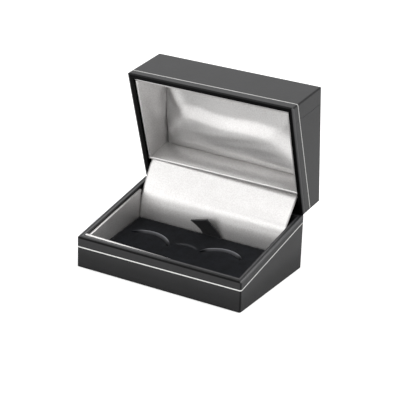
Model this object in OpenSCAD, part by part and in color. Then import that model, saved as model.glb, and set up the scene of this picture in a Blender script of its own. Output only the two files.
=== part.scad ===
// Hinged cufflink box: two leatherette-covered shells, satin liners, a lift-out
// velvet pad with two slits, and a sprung steel hinge behind a satin flap.
// Drawn open, standing on its underside, with the front towards -Y.

/* [Box] */
// Width from side to side
box_w = 80; // [70:0.5:110]
// Depth from the front wall to the rear wall
box_d = 53.7; // [48:0.1:75]
// Height of the shut box
box_h = 39.9; // [38:0.1:55]
// Height of the base at its front rim
front_h = 13.9; // [13:0.1:18]
// Height of the base at its rear rim
rear_h = 24.6; // [23:0.1:28]
// Radius of the upright edges
edge_r = 0.9; // [0.6:0.1:2]
// Radius of the rolled rims
rim_r = 0.6; // [0.2:0.1:0.8]

/* [Lid] */
// Angle that the lid stands open
open_angle = 84.4; // [70:0.1:90]
// Gap between the shut rims at the front
front_gap = 0.2; // [0.1:0.1:0.5]
// Gap between the shut rims at the hinge
hinge_gap = 0.8; // [0.7:0.1:1.2]

/* [Shells and covering] */
// Wall of the moulded shells
wall_t = 1.6; // [1.2:0.1:2.5]
// Floor of the base shell and roof of the lid shell
floor_t = 1.5; // [1:0.1:2.5]
// Thickness of the leatherette
cover_t = 0.4; // [0.3:0.05:0.6]
// How far the leatherette is turned down inside the rims
turn_down = 3; // [2:0.5:5]
// How far the leatherette is turned in under the base
turn_in = 6; // [4:0.5:10]
// How far the front sheet of the lid is wrapped onto its sides
lid_wrap = 7.6; // [5:0.1:12]
// Open seam between two sheets of leatherette
seam_gap = 0.12; // [0.05:0.01:0.3]
// Thickness of the paper sheet under the base
sheet_t = 0.3; // [0.2:0.1:0.8]
// Distance of the paper sheet from the walls
sheet_inset = 2; // [1:0.5:4]

/* [Foil line] */
// Width of the line
foil_w = 0.5; // [0.3:0.1:1]
// Depth of the groove it is pressed into
foil_depth = 0.12; // [0.05:0.01:0.2]
// Distance below the rim of the base at the front left corner
base_foil_left = 4.2; // [3:0.1:6]
// Distance below the rim of the base at the front right corner
base_foil_right = 3.6; // [3:0.1:6]
// Distance below the rim of the base at the rear corners
base_foil_rear = 2.8; // [2:0.1:6]
// Distance above the rim of the lid at the front left corner
lid_foil_left = 3.4; // [3:0.1:6]
// Distance above the rim of the lid at the front right corner
lid_foil_right = 4.3; // [3:0.1:6]
// Distance above the rim of the lid at the rear corners
lid_foil_rear = 5.2; // [3:0.1:6]

/* [Liners] */
// Thickness of a satin-covered liner card
liner_t = 1.2; // [0.8:0.1:2]
// How far the liners stop short of the rims
liner_drop = 1.1; // [0.5:0.1:2]
// How far the left end of the front liner stands above its right end
front_liner_rise = 1.8; // [0:0.1:1.8]
// Depth of the hinge room behind the rear liners
hinge_room = 8; // [7.6:0.1:12]
// How far the rear liner of the base stops below the rim
partition_drop = 2.2; // [1.5:0.1:4]
// Lean of the side and front liners of the lid
side_lean = 8; // [0:0.5:12]
// Lean of the rear liner of the lid
rear_lean = 14; // [0:0.5:16]
// Thickness of the satin
satin_t = 0.35; // [0.2:0.05:0.5]
// Clearance between soft pieces that meet
soft_gap = 0.3; // [0.2:0.05:0.5]

/* [Lid cushion] */
// Thickness of the card behind the cushion
cushion_card_t = 1; // [0.6:0.1:2]
// Thickness of the cushion along its edges
cushion_edge = 1.4; // [1:0.1:2.5]
// Extra thickness of the cushion in its middle
cushion_crown = 3.2; // [1:0.1:5]

/* [Hinge] */
// Length of the hinge
hinge_len = 56; // [40:1:60]
// Number of knuckles
knuckles = 5; // [3:2:7]
// Outer radius of a knuckle
knuckle_r = 1.1; // [1:0.05:1.3]
// Radius of the hinge pin
pin_r = 0.55; // [0.4:0.05:0.6]
// Running clearance round the pin and between knuckles
pin_gap = 0.08; // [0.05:0.01:0.12]
// Thickness of the steel leaves
leaf_t = 0.4; // [0.3:0.05:0.5]
// Height of the base leaf on its wall
leaf_h = 8; // [6.5:0.1:9]
// Room between the lid leaf and the roof of the lid
leaf_room = 4.6; // [3.9:0.1:6]
// Depth of the folded lip that holds the springs
lip_d = 1.3; // [1:0.1:1.6]
// Overhang of a spring's cross bar on each side of its slot
bar_over = 1; // [0.5:0.1:1.5]
// Shank radius of the rivets
rivet_r = 0.8; // [0.6:0.1:1]
// Distance of the rivets from the middle
rivet_x = 12; // [8:1:14]
// Distance of the springs from the middle
spring_x = 21; // [18:0.5:23]
// Width of a spring
spring_w = 7; // [5:0.5:8]
// Thickness of a spring
spring_t = 0.35; // [0.25:0.05:0.45]
// Clearance of the springs round the knuckles
spring_gap = 1.2; // [1.1:0.05:1.5]
// Height of the outer hinge strip on each rear wall
spine_h = 6.5; // [4:0.5:8]

/* [Pad] */
// Height of the top of the pad at its front edge
pad_front_h = 6.1; // [5.8:0.1:7]
// Height of the top of the pad at its rear edge
pad_rear_h = 9.8; // [8:0.1:11]
// Thickness of the pad's folded card
pad_card_t = 0.8; // [0.6:0.1:1]
// Thickness of the foam
foam_t = 2.2; // [1.5:0.1:2.4]
// Thickness of the velvet
velvet_t = 0.5; // [0.3:0.1:0.8]
// Radius of the curved slits
slit_r = 12; // [10:0.1:14]
// Angle that a slit spans
slit_span = 108; // [80:1:120]
// Turn of each slit towards the middle
slit_turn = 8; // [0:1:15]
// Width of a slit
slit_w = 0.9; // [0.6:0.1:1.2]
// Distance of the slit centres from the middle of the pattern
slit_x = 18; // [16:0.5:19]
// Distance of the slit centres from the front of the box
slit_y = 20.4; // [18:0.1:24]
// Sideways shift of the pattern on the pad
pattern_shift = -2.4; // [-3:0.1:3]
// Height of the velvet lip behind a slit
slit_lip = 0.7; // [0.4:0.1:1]
// Radius of the finger dish
dish_r = 8.5; // [6:0.5:9]
// Depth of the finger dish
dish_depth = 0.45; // [0.2:0.05:0.45]

/* [Ribbon] */
// Width of the lifting ribbon
ribbon_w = 9; // [6:0.5:12]
// Thickness of the doubled ribbon
ribbon_t = 0.7; // [0.5:0.1:1]
// Height of the ribbon loop above the pad
ribbon_rise = 7.2; // [5:0.1:9]
// How far the ribbon loop leans forwards
ribbon_lean = 3.4; // [1:0.1:5]
// How far the ribbon loop leans to the left
ribbon_side = 5.6; // [0:0.1:7]
// Place of the ribbon from the middle
ribbon_x = 1.6; // [-10:0.1:10]

/* [Hidden] */
$fn = 48;

leather = "#39393b";
board = "#2a2a2c";
satin = "#d4d2cf";
foil = "#eeeeee";
steel = "#9a9ca0";
velvet = "#1d1e20";

// Reach of a cutting solid past the piece it cuts
past = 5;
// Turns of the rolled edges
arc_steps = 4;

front_y = -box_d / 2;
rear_y = box_d / 2;
rim_tilt = atan((rear_h - front_h) / box_d);
lid_front = front_h + front_gap;
lid_rear = rear_h + hinge_gap;
lid_tilt = atan((lid_rear - lid_front) / box_d);
pivot_y = rear_y - hinge_gap / 2;
pivot_z = rear_h + hinge_gap / 2;

// Distances in from the outside of the box
shell_in = cover_t + wall_t;
open_in = shell_in + cover_t;
liner_in = open_in + liner_t;
floor_top = sheet_t + floor_t;
roof = box_h - cover_t - floor_t;
card_low = roof - cushion_card_t;
flap_y = rear_y - shell_in - hinge_room;
leaf_y = rear_y - shell_in;

function rim_z(y) = front_h + (y - front_y) * tan(rim_tilt);
function lid_z(y) = lid_front + (y - front_y) * tan(lid_tilt);
function unit(v) = v / norm(v);
function to_open(p, angle = open_angle) =
    let (y = p[0] - pivot_y, z = p[1] - pivot_z)
    [pivot_y + y * cos(angle) + z * sin(angle), pivot_z - y * sin(angle) + z * cos(angle)];

// Points of an outline with its corners rounded to the radii in r
function rounded(p, r) = [
    for (i = [0 : len(p) - 1])
        let (a = p[(i + len(p) - 1) % len(p)], b = p[i], c = p[(i + 1) % len(p)],
             u = unit(a - b), v = unit(c - b), half = acos(u * v) / 2,
             m = b + unit(u + v) * r[i] / sin(half),
             s = b + u * r[i] / tan(half) - m, e = b + v * r[i] / tan(half) - m,
             a0 = atan2(s[1], s[0]), turn = atan2(e[1], e[0]) - a0,
             span = turn > 180 ? turn - 360 : turn < -180 ? turn + 360 : turn)
            for (k = [0 : r[i] > 0 ? arc_steps : 0])
                r[i] > 0 ? m + r[i] * [cos(a0 + span * k / arc_steps),
                                       sin(a0 + span * k / arc_steps)] : b];

// Extrudes a side view, whose points are [y, z], to the given width
module side_view(width, x = 0) {
    translate([x, 0, 0]) rotate([90, 0, 90])
        linear_extrude(width, center = true) children();
}

// Extrudes a front view, whose points are [x, z], backwards from y
module front_view(depth, y = front_y) {
    translate([0, y + depth, 0]) rotate([90, 0, 0]) linear_extrude(depth) children();
}

// Upright column with the plan of the box, set in from its walls
module column(inset, low = -past, high = box_h + past) {
    w = box_w / 2 - inset;
    d = box_d / 2 - inset;
    r = max(edge_r - inset, 0);
    translate([0, 0, low]) linear_extrude(high - low)
        polygon(rounded([[-w, -d], [w, -d], [w, d], [-w, d]], [r, r, r, r]));
}

// Solid under the rim of the base, set in from the walls and down from the rim
module base_block(inset, low, drop) {
    f = front_y + inset;
    b = rear_y - inset;
    intersection() {
        column(inset);
        side_view(box_w)
            polygon([[f, low], [b, low], [b, rim_z(b) - drop], [f, rim_z(f) - drop]]);
    }
}

// Base block with its rim rolled over
module base_form() {
    w = box_w / 2;
    intersection() {
        column(0);
        side_view(box_w)
            polygon(rounded([[front_y, sheet_t], [rear_y, sheet_t], [rear_y, rear_h],
                             [front_y, front_h]], [0, 0, rim_r, rim_r]));
        translate([0, front_y, front_h]) rotate([rim_tilt, 0, 0])
            front_view(box_d + 4 * past, -2 * past)
                polygon(rounded([[-w, -box_h], [w, -box_h], [w, 0], [-w, 0]],
                                [0, 0, rim_r, rim_r]));
    }
}

// Solid above the rim of the lid, in the shut position
module lid_block(inset, top, lift) {
    f = front_y + inset;
    b = rear_y - inset;
    intersection() {
        column(inset);
        side_view(box_w)
            polygon([[f, lid_z(f) + lift], [b, lid_z(b) + lift], [b, top], [f, top]]);
    }
}

// Lid block with its rim and its upper edges rolled over
module lid_form() {
    w = box_w / 2;
    intersection() {
        column(0);
        side_view(box_w)
            polygon(rounded([[front_y, lid_front], [rear_y, lid_rear], [rear_y, box_h],
                             [front_y, box_h]], [rim_r, rim_r, edge_r, edge_r]));
        front_view(box_d)
            polygon(rounded([[-w, 0], [w, 0], [w, box_h], [-w, box_h]],
                            [0, 0, edge_r, edge_r]));
        translate([0, front_y, lid_front]) rotate([lid_tilt, 0, 0])
            front_view(box_d + 4 * past, -2 * past)
                polygon(rounded([[-w, 0], [w, 0], [w, box_h], [-w, box_h]],
                                [rim_r, rim_r, 0, 0]));
    }
}

// Turns pieces of the shut lid to where they stand when it is open
module opened() {
    translate([0, pivot_y, pivot_z]) rotate([-open_angle, 0, 0])
        translate([0, -pivot_y, -pivot_z]) children();
}

// Round bar along the hinge axis
module axle(r, length, x = 0) {
    translate([x, pivot_y, pivot_z]) rotate([0, 90, 0])
        cylinder(r = r, h = length, center = true);
}

// Room that the hinge needs in the rims and rear walls
module hinge_cut() {
    slack = 2 * soft_gap;
    axle(knuckle_r + soft_gap / 2, hinge_len + slack);
}

// Shank of a rivet through leaf and wall, with a countersunk outer head
module rivet_shank(x, z) {
    translate([x, leaf_y - leaf_t, z]) rotate([-90, 0, 0]) {
        cylinder(r = rivet_r, h = leaf_t + wall_t);
        translate([0, 0, leaf_t + wall_t - rivet_r])
            cylinder(r1 = rivet_r, r2 = 2 * rivet_r, h = rivet_r);
    }
}

// Rivet with its domed head inside the box
module rivet(x, z) {
    head_r = 1.8 * rivet_r;
    head_h = 0.7 * rivet_r;
    ball_r = (head_r * head_r + head_h * head_h) / (2 * head_h);
    rivet_shank(x, z);
    translate([x, leaf_y - leaf_t, z]) rotate([-90, 0, 0]) intersection() {
        translate([0, 0, ball_r - head_h]) sphere(r = ball_r);
        translate([0, 0, -head_h]) cylinder(r = head_r, h = head_h);
    }
}

base_rivet_z = rim_z(leaf_y) - cover_t - leaf_h / 2;
lid_leaf_h = roof - leaf_room - lid_z(leaf_y) - cover_t;
lid_rivet_z = lid_z(leaf_y) + cover_t + lid_leaf_h / 2;

// Base

module base_shell() {
    color(board) difference() {
        union() {
            base_block(cover_t, sheet_t + cover_t, cover_t);
            column(turn_in, sheet_t, floor_top);
        }
        column(shell_in, floor_top);
        hinge_cut();
        for (x = [-rivet_x, rivet_x]) rivet_shank(x, base_rivet_z);
    }
}

module base_covering() {
    color(leather) difference() {
        union() {
            difference() {
                base_form();
                base_block(cover_t, sheet_t + cover_t, cover_t);
            }
            intersection() {
                base_block(shell_in, 0, cover_t / 2);
                side_view(box_w)
                    polygon([[front_y, front_h - turn_down], [rear_y, rear_h - turn_down],
                             [rear_y, rear_h], [front_y, front_h]]);
            }
        }
        column(open_in, floor_top);
        column(turn_in, -past, floor_top);
        leaf_window_in_rim();
        hinge_cut();
        base_foil_line();
    }
}

// Rear rim and its turned-down lining cut away for the base leaf
module leaf_window_in_rim() {
    slack = 2 * soft_gap;
    y0 = leaf_y - cover_t - soft_gap;
    y1 = rear_y - cover_t;
    side_view(hinge_len + slack)
        polygon([[y0, rim_z(y0) - cover_t - leaf_h], [leaf_y, rim_z(leaf_y) - cover_t - leaf_h],
                 [leaf_y, rim_z(leaf_y) - cover_t], [y1, rim_z(y1) - cover_t],
                 [y1, rim_z(y1) + past], [y0, rim_z(y0) + past]]);
}

// Line round the front and sides, between the given heights
module foil_band(left, right, rear) {
    w = box_w / 2;
    front_view(edge_r + 2 * foil_depth)
        polygon([[-w, left - foil_w], [w, right - foil_w], [w, right], [-w, left]]);
    for (s = [[-1, left], [1, right]])
        side_view(edge_r, s[0] * (w - edge_r / 2))
            polygon([[front_y + edge_r, s[1] - foil_w], [rear_y, rear - foil_w],
                     [rear_y, rear], [front_y + edge_r, s[1]]]);
}

module base_foil_line() {
    color(foil) intersection() {
        difference() {
            column(0);
            column(foil_depth);
        }
        foil_band(front_h - base_foil_left, front_h - base_foil_right,
                  rear_h - base_foil_rear);
        translate([-box_w, front_y - past, 0])
            cube([2 * box_w, box_d + past - edge_r, box_h]);
    }
}

module base_underside_sheet() {
    color(board) column(sheet_inset, 0, sheet_t);
}

module base_front_liner() {
    w = box_w / 2 - open_in;
    low = floor_top;
    y = front_y + open_in;
    high = rim_z(y) - liner_drop;
    color(satin) front_view(liner_t, y)
        polygon([[-w, low], [w, low], [w, high], [-w, high + front_liner_rise]]);
}

module base_side_liner(side) {
    f = front_y + liner_in;
    b = flap_y + liner_t;
    color(satin) side_view(liner_t, side * (box_w / 2 - open_in - liner_t / 2))
        polygon([[f, floor_top], [b, floor_top], [b, rim_z(b) - liner_drop],
                 [f, rim_z(f) - liner_drop]]);
}

module base_left_liner() {
    base_side_liner(-1);
}

module base_right_liner() {
    base_side_liner(1);
}

module base_rear_liner() {
    color(satin) side_view(box_w - 2 * liner_in)
        polygon([[flap_y, floor_top], [flap_y + liner_t, floor_top],
                 [flap_y + liner_t, rim_z(flap_y) - partition_drop],
                 [flap_y, rim_z(flap_y) - partition_drop]]);
}

// Hinge

knuckle_len = hinge_len / knuckles;
pitch_x = [for (k = [0 : knuckles - 1]) (k - (knuckles - 1) / 2) * knuckle_len];

// Knuckles with the given parity, as bars of the given radius
module knuckle_row(parity, r, length) {
    for (k = [0 : knuckles - 1])
        if (k % 2 == parity) axle(r, length, pitch_x[k]);
}

module base_hinge_leaf() {
    foot = rim_z(leaf_y) - cover_t - leaf_h;
    front = leaf_y - leaf_t;
    color(steel) difference() {
        union() {
            side_view(hinge_len)
                polygon([[front - lip_d, foot], [leaf_y, foot],
                         [leaf_y, rim_z(leaf_y) - cover_t],
                         [pivot_y, rim_z(pivot_y) - cover_t],
                         [pivot_y, rim_z(pivot_y) - cover_t + leaf_t],
                         [front, rim_z(front) - cover_t + leaf_t],
                         [front, foot + leaf_t], [front - lip_d, foot + leaf_t]]);
            knuckle_row(0, knuckle_r, knuckle_len - 2 * pin_gap);
        }
        knuckle_row(1, knuckle_r + 2 * pin_gap, knuckle_len + 2 * pin_gap);
        axle(pin_r + pin_gap, hinge_len + past);
        spring_slots(foot - pin_gap);
        for (x = [-rivet_x, rivet_x]) rivet_shank(x, base_rivet_z);
    }
}

module base_hinge_rivets() {
    color(steel) for (x = [-rivet_x, rivet_x]) rivet(x, base_rivet_z);
}

// Slots in the folded lips through which the springs pass
module spring_slots(z) {
    for (x = [-spring_x, spring_x])
        translate([x - spring_w / 2 - 2 * pin_gap, leaf_y - leaf_t - past, z])
            cube([spring_w + 4 * pin_gap, past, leaf_t + 2 * pin_gap]);
}

module hinge_pin() {
    color(steel) axle(pin_r, hinge_len + 2 * pin_gap);
}

// Middle of a spring's cross bar beyond the lip of a leaf, as [y, z]
bar_r = 0.5;
bar_y = leaf_y - leaf_t - lip_d / 2;
base_bar = [bar_y, rim_z(leaf_y) - cover_t - leaf_h - bar_r - pin_gap];
lid_bar = to_open([bar_y, lid_z(leaf_y) + cover_t + lid_leaf_h + bar_r + pin_gap]);

module snap_springs() {
    // The arc goes from bar to bar past a point that lies clear of the knuckles
    half = norm(lid_bar - base_bar) / 2;
    along = unit(lid_bar - base_bar);
    out = [-along[1], along[0]];
    way = [-cos(45 + open_angle / 2), sin(45 + open_angle / 2)];
    past_pin = [pivot_y, pivot_z] + way * (knuckle_r + spring_gap + spring_t / 2)
        - (base_bar + lid_bar) / 2;
    a = past_pin * along;
    b = past_pin * out;
    shift = (a * a + b * b - half * half) / (2 * b);
    r = sqrt(half * half + shift * shift);
    middle = (base_bar + lid_bar) / 2 + out * shift;
    color(steel) for (x = [-spring_x, spring_x]) {
        side_view(spring_w, x) difference() {
            translate(middle) circle(r = r + spring_t / 2);
            translate(middle) circle(r = r - spring_t / 2);
            polygon([base_bar - along * r, lid_bar + along * r,
                     lid_bar + along * r - out * 3 * r, base_bar - along * r - out * 3 * r]);
        }
        side_view(spring_w + 2 * bar_over, x)
            for (bar = [base_bar, lid_bar]) translate(bar) circle(r = bar_r);
    }
}

// Route of the leatherette strip over the outside of the hinge, as [y, z]
roll_r = knuckle_r + soft_gap / 2 + cover_t / 2;
roll_reach = acos((hinge_gap / 2 + cover_t / 2) / roll_r);
roll_steps = 8;
hinge_route = concat(
    [[rear_y + cover_t / 2, rear_h - spine_h]],
    [for (k = [0 : roll_steps])
        let (a = -roll_reach + (2 * roll_reach - open_angle) * k / roll_steps)
        [pivot_y, pivot_z] + roll_r * [cos(a), sin(a)]],
    [to_open([rear_y + cover_t / 2, lid_rear + spine_h])]);

// Outline of a strip of the given thickness along a route
function strip(p, t) =
    let (n = len(p),
         side = [for (i = [0 : n - 1])
                 let (into = unit(p[max(i, 1)] - p[max(i, 1) - 1]),
                      from = unit(p[min(i, n - 2) + 1] - p[min(i, n - 2)]),
                      d = unit(into + from))
                 [-d[1], d[0]] / sqrt((1 + into * from) / 2)])
        concat([for (i = [0 : n - 1]) p[i] + side[i] * t / 2],
               [for (i = [n - 1 : -1 : 0]) p[i] - side[i] * t / 2]);

module hinge_strip() {
    color(leather) side_view(box_w - 2 * edge_r) polygon(strip(hinge_route, cover_t));
}

// Lid, drawn shut and then opened

module lid_shell() {
    color(board) opened() difference() {
        lid_block(cover_t, box_h - cover_t, cover_t);
        column(shell_in, -past, roof);
        hinge_cut();
        for (x = [-rivet_x, rivet_x]) rivet_shank(x, lid_rivet_z);
    }
}

// Skin of leatherette over the whole lid
module lid_skin() {
    difference() {
        union() {
            difference() {
                lid_form();
                lid_block(cover_t, box_h - cover_t, cover_t);
            }
            intersection() {
                lid_block(shell_in, box_h, cover_t / 2);
                side_view(box_w)
                    polygon([[front_y, lid_front], [rear_y, lid_rear],
                             [rear_y, lid_rear + turn_down], [front_y, lid_front + turn_down]]);
            }
        }
        column(open_in, -past, roof);
        lid_leaf_window();
        hinge_cut();
        lid_foil();
    }
}

// Rear rim and its turned-up lining cut away for the lid leaf
module lid_leaf_window() {
    slack = 2 * soft_gap;
    y0 = leaf_y - cover_t - soft_gap;
    y1 = rear_y - cover_t;
    side_view(hinge_len + slack)
        polygon([[y0, lid_z(y0) - past], [y1, lid_z(y1) - past], [y1, lid_z(y1) + cover_t],
                 [leaf_y, lid_z(leaf_y) + cover_t],
                 [leaf_y, lid_z(leaf_y) + cover_t + lid_leaf_h],
                 [y0, lid_z(y0) + cover_t + lid_leaf_h]]);
}

// Room of the two side sheets, widened by a seam where they meet the front sheet
module side_sheets(seam) {
    edge = edge_r + seam_gap;
    for (x = [-1, 1])
        side_view(cover_t, x * (box_w / 2 - cover_t / 2))
            polygon([[front_y + lid_wrap - seam, lid_z(front_y + lid_wrap) + rim_r + cover_t - seam],
                     [rear_y - edge + seam, lid_z(rear_y) + rim_r + cover_t - seam],
                     [rear_y - edge + seam, box_h - edge + seam],
                     [front_y + lid_wrap - seam, box_h - edge + seam]]);
}

module lid_covering() {
    color(leather) opened() difference() {
        lid_skin();
        side_sheets(seam_gap);
    }
}

module lid_side_coverings() {
    color(leather) opened() intersection() {
        lid_skin();
        side_sheets(0);
    }
}

module lid_foil() {
    intersection() {
        difference() {
            column(0);
            column(foil_depth);
        }
        foil_band(lid_front + lid_foil_left + foil_w, lid_front + lid_foil_right + foil_w,
                  lid_rear + lid_foil_rear + foil_w);
        translate([-box_w, front_y - past, 0])
            cube([2 * box_w, box_d + past - edge_r - seam_gap, box_h]);
    }
}

module lid_foil_line() {
    color(foil) opened() lid_foil();
}

// Space between the rim clearance and the cushion card, inside the lining
module lid_room() {
    w = box_w / 2 - open_in;
    f = front_y + open_in;
    b = rear_y - open_in;
    side_view(2 * w)
        polygon([[f, lid_z(f) + liner_drop], [b, lid_z(b) + liner_drop], [b, card_low],
                 [f, card_low]]);
}

// Everything on the far side of a leaning plane through the rim
module beyond_front(offset) {
    y = front_y + open_in;
    translate([0, y, lid_z(y)]) rotate([-side_lean, 0, 0])
        translate([-box_w, offset - box_d, -box_h]) cube([2 * box_w, box_d, 3 * box_h]);
}

module beyond_rear(offset) {
    translate([0, flap_y, lid_z(flap_y)]) rotate([rear_lean, 0, 0])
        translate([-box_w, offset, -box_h]) cube([2 * box_w, box_d, 3 * box_h]);
}

module beyond_side(side, offset) {
    x = box_w / 2 - open_in;
    translate([side * x, front_y, lid_front]) rotate([lid_tilt, 0, 0])
        rotate([0, -side * side_lean, 0])
            translate([side > 0 ? -offset : offset - box_w, -box_d, -box_h])
                cube([box_w, 3 * box_d, 3 * box_h]);
}

module lid_front_liner() {
    color(satin) opened() difference() {
        intersection() {
            lid_room();
            beyond_front(liner_t);
        }
        beyond_front(0);
    }
}

module lid_rear_liner() {
    color(satin) opened() difference() {
        intersection() {
            lid_room();
            beyond_rear(0);
        }
        beyond_rear(liner_t);
    }
}

module lid_side_liner(side) {
    color(satin) opened() difference() {
        intersection() {
            lid_room();
            beyond_side(side, liner_t);
        }
        beyond_side(side, 0);
        beyond_front(liner_t);
        beyond_rear(0);
    }
}

module lid_left_liner() {
    lid_side_liner(-1);
}

module lid_right_liner() {
    lid_side_liner(1);
}

module lid_cushion_card() {
    color(board) opened() intersection() {
        column(shell_in + soft_gap, card_low, roof);
        translate([-box_w, front_y, 0]) cube([2 * box_w, flap_y - front_y, box_h]);
    }
}

// Rows and columns of the cushion's face
cushion_n = 22;
cushion_m = 16;
cushion_w = box_w / 2 - liner_in - (card_low - lid_front) * tan(side_lean) - soft_gap;
cushion_f = front_y + liner_in + (card_low - lid_front) * tan(side_lean) + soft_gap;
cushion_b = flap_y - (card_low - lid_z(flap_y)) * tan(rear_lean) - soft_gap;

// Fullness of the cushion from 0 at its edges to 1 in its middle
function full(u) = pow(1 - pow(abs(u), 4), 0.5);
// How far the sides are drawn in, from 0 at the corners to 1 at mid-side
function drawn(u) = 1 - u * u;

function cushion_point(i, j, face) =
    let (u = 2 * i / cushion_n - 1, v = 2 * j / cushion_m - 1,
         draw = 0.6,
         x = u * (cushion_w - draw * drawn(v) * abs(u)),
         d = (cushion_b - cushion_f) / 2,
         y = (cushion_f + cushion_b) / 2 + v * (d - draw * drawn(u) * abs(v)),
         z = card_low - (face ? cushion_edge + cushion_crown * full(u) * full(v) : 0))
        [x, y, z];

module lid_cushion() {
    n = cushion_n + 1;
    m = cushion_m + 1;
    points = [for (f = [1, 0], j = [0 : cushion_m], i = [0 : cushion_n])
              cushion_point(i, j, f == 1)];
    at = function (f, i, j) f * n * m + j * n + i;
    face = [for (j = [0 : cushion_m - 1], i = [0 : cushion_n - 1], t = [0, 1])
            t == 0 ? [at(0, i, j), at(0, i + 1, j), at(0, i + 1, j + 1)]
                   : [at(0, i, j), at(0, i + 1, j + 1), at(0, i, j + 1)]];
    back = [for (j = [0 : cushion_m - 1], i = [0 : cushion_n - 1], t = [0, 1])
            t == 0 ? [at(1, i, j), at(1, i + 1, j + 1), at(1, i + 1, j)]
                   : [at(1, i, j), at(1, i, j + 1), at(1, i + 1, j + 1)]];
    ends = [for (i = [0 : cushion_n - 1], t = [0 : 3])
            t == 0 ? [at(0, i, 0), at(1, i, 0), at(1, i + 1, 0)]
            : t == 1 ? [at(0, i, 0), at(1, i + 1, 0), at(0, i + 1, 0)]
            : t == 2 ? [at(0, i, cushion_m), at(1, i + 1, cushion_m), at(1, i, cushion_m)]
            : [at(0, i, cushion_m), at(0, i + 1, cushion_m), at(1, i + 1, cushion_m)]];
    sides = [for (j = [0 : cushion_m - 1], t = [0 : 3])
             t == 0 ? [at(0, 0, j), at(1, 0, j + 1), at(1, 0, j)]
             : t == 1 ? [at(0, 0, j), at(0, 0, j + 1), at(1, 0, j + 1)]
             : t == 2 ? [at(0, cushion_n, j), at(1, cushion_n, j), at(1, cushion_n, j + 1)]
             : [at(0, cushion_n, j), at(1, cushion_n, j + 1), at(0, cushion_n, j + 1)]];
    color(satin) opened()
        polyhedron(points = points, faces = concat(face, back, ends, sides));
}

module lid_hinge_leaf() {
    head = lid_z(leaf_y) + cover_t + lid_leaf_h;
    front = leaf_y - leaf_t;
    color(steel) opened() difference() {
        union() {
            side_view(hinge_len)
                polygon([[front - lip_d, head], [leaf_y, head],
                         [leaf_y, lid_z(leaf_y) + cover_t],
                         [pivot_y, lid_z(pivot_y) + cover_t],
                         [pivot_y, lid_z(pivot_y) + cover_t - leaf_t],
                         [front, lid_z(front) + cover_t - leaf_t],
                         [front, head - leaf_t], [front - lip_d, head - leaf_t]]);
            knuckle_row(1, knuckle_r, knuckle_len - 2 * pin_gap);
        }
        knuckle_row(0, knuckle_r + 2 * pin_gap, knuckle_len + 2 * pin_gap);
        axle(pin_r + pin_gap, hinge_len + past);
        spring_slots(head - leaf_t - pin_gap);
        for (x = [-rivet_x, rivet_x]) rivet_shank(x, lid_rivet_z);
    }
}

module lid_hinge_rivets() {
    color(steel) opened() for (x = [-rivet_x, rivet_x]) rivet(x, lid_rivet_z);
}

// Satin from the rear liner of the base to the back of the lid's rear liner

// Route of the satin as [y, z], from behind the pad up to the lid
flap_foot = [flap_y - satin_t / 2, pad_rear_h / 2];
flap_bend = [flap_y - satin_t / 2, rim_z(flap_y) - partition_drop + satin_t / 2];
flap_edge = [flap_y + liner_t / cos(rear_lean) + 0.6 * satin_t,
             lid_z(flap_y + liner_t) + liner_drop];
flap_head = to_open(flap_edge);
flap_end = to_open(flap_edge + 4 * [-sin(rear_lean), cos(rear_lean)]);
flap_steps = 14;

function bezier(a, b, c, d, t) =
    a * pow(1 - t, 3) + 3 * b * t * pow(1 - t, 2) + 3 * c * t * t * (1 - t) + d * pow(t, 3);

flap_route = concat([flap_foot],
    [for (k = [0 : flap_steps])
        bezier(flap_bend, flap_bend + [0, 1.8],
               flap_head - 7 * unit(flap_head - flap_bend), flap_head, k / flap_steps)],
    [flap_end]);

module satin_flap() {
    color(satin) side_view(box_w - 2 * liner_in - 2 * soft_gap)
        polygon(strip(flap_route, satin_t));
}

// Lift-out pad

pad_r = 1;
pad_w = box_w / 2 - liner_in - soft_gap;
pad_f = front_y + liner_in + soft_gap;
pad_b = flap_y - satin_t - 2 * soft_gap;
pad_tilt = atan((pad_rear_h - pad_front_h) / (pad_b - pad_f));
pad_len = (pad_b - pad_f) / cos(pad_tilt);
// Front and rear of the card under the foam, and the height of its top
card_f = pad_f + velvet_t + pad_rear_h * sin(pad_tilt) / 2;
card_b = pad_f + (pad_len - velvet_t) * cos(pad_tilt) - soft_gap;
function card_z(y) =
    pad_front_h + (y - pad_f) * tan(pad_tilt) - (velvet_t + foam_t) / cos(pad_tilt);

// Puts children on the sloping top of the pad, with y from its front edge
module on_pad() {
    translate([0, pad_f, pad_front_h]) rotate([pad_tilt, 0, 0]) children();
}

// Sloping slab of the pad between two depths below its top
module pad_slab(inset, top, low) {
    r = pad_r;
    w = pad_w - inset;
    on_pad() translate([0, 0, -low]) linear_extrude(low - top)
        polygon(rounded([[-w, inset], [w, inset], [w, pad_len - inset],
                         [-w, pad_len - inset]], [r, r, r, r]));
}

// Middle of a slit on the pad's top
function slit_at(side) =
    [pattern_shift + side * slit_x, (slit_y - liner_in - soft_gap) / cos(pad_tilt)];

// Ring sector along a slit, set in or out of its middle line
module slit_ring(side, inner, outer, low, high) {
    mid = 90 + side * slit_turn;
    on_pad() translate([slit_at(side)[0], slit_at(side)[1], low])
        intersection() {
            difference() {
                cylinder(r = outer, h = high - low);
                translate([0, 0, -past]) cylinder(r = inner, h = high - low + 2 * past);
            }
            linear_extrude(3 * past, center = true)
                polygon([[0, 0], for (k = [-2 : 2])
                         2 * outer * [cos(mid + k * slit_span / 4),
                                      sin(mid + k * slit_span / 4)]]);
        }
}

// Notch through which the ribbon comes up behind the pad
module ribbon_notch() {
    translate([ribbon_x - ribbon_w / 2 - soft_gap, card_b, 0])
        cube([ribbon_w + 2 * soft_gap, past, box_h]);
}

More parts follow.
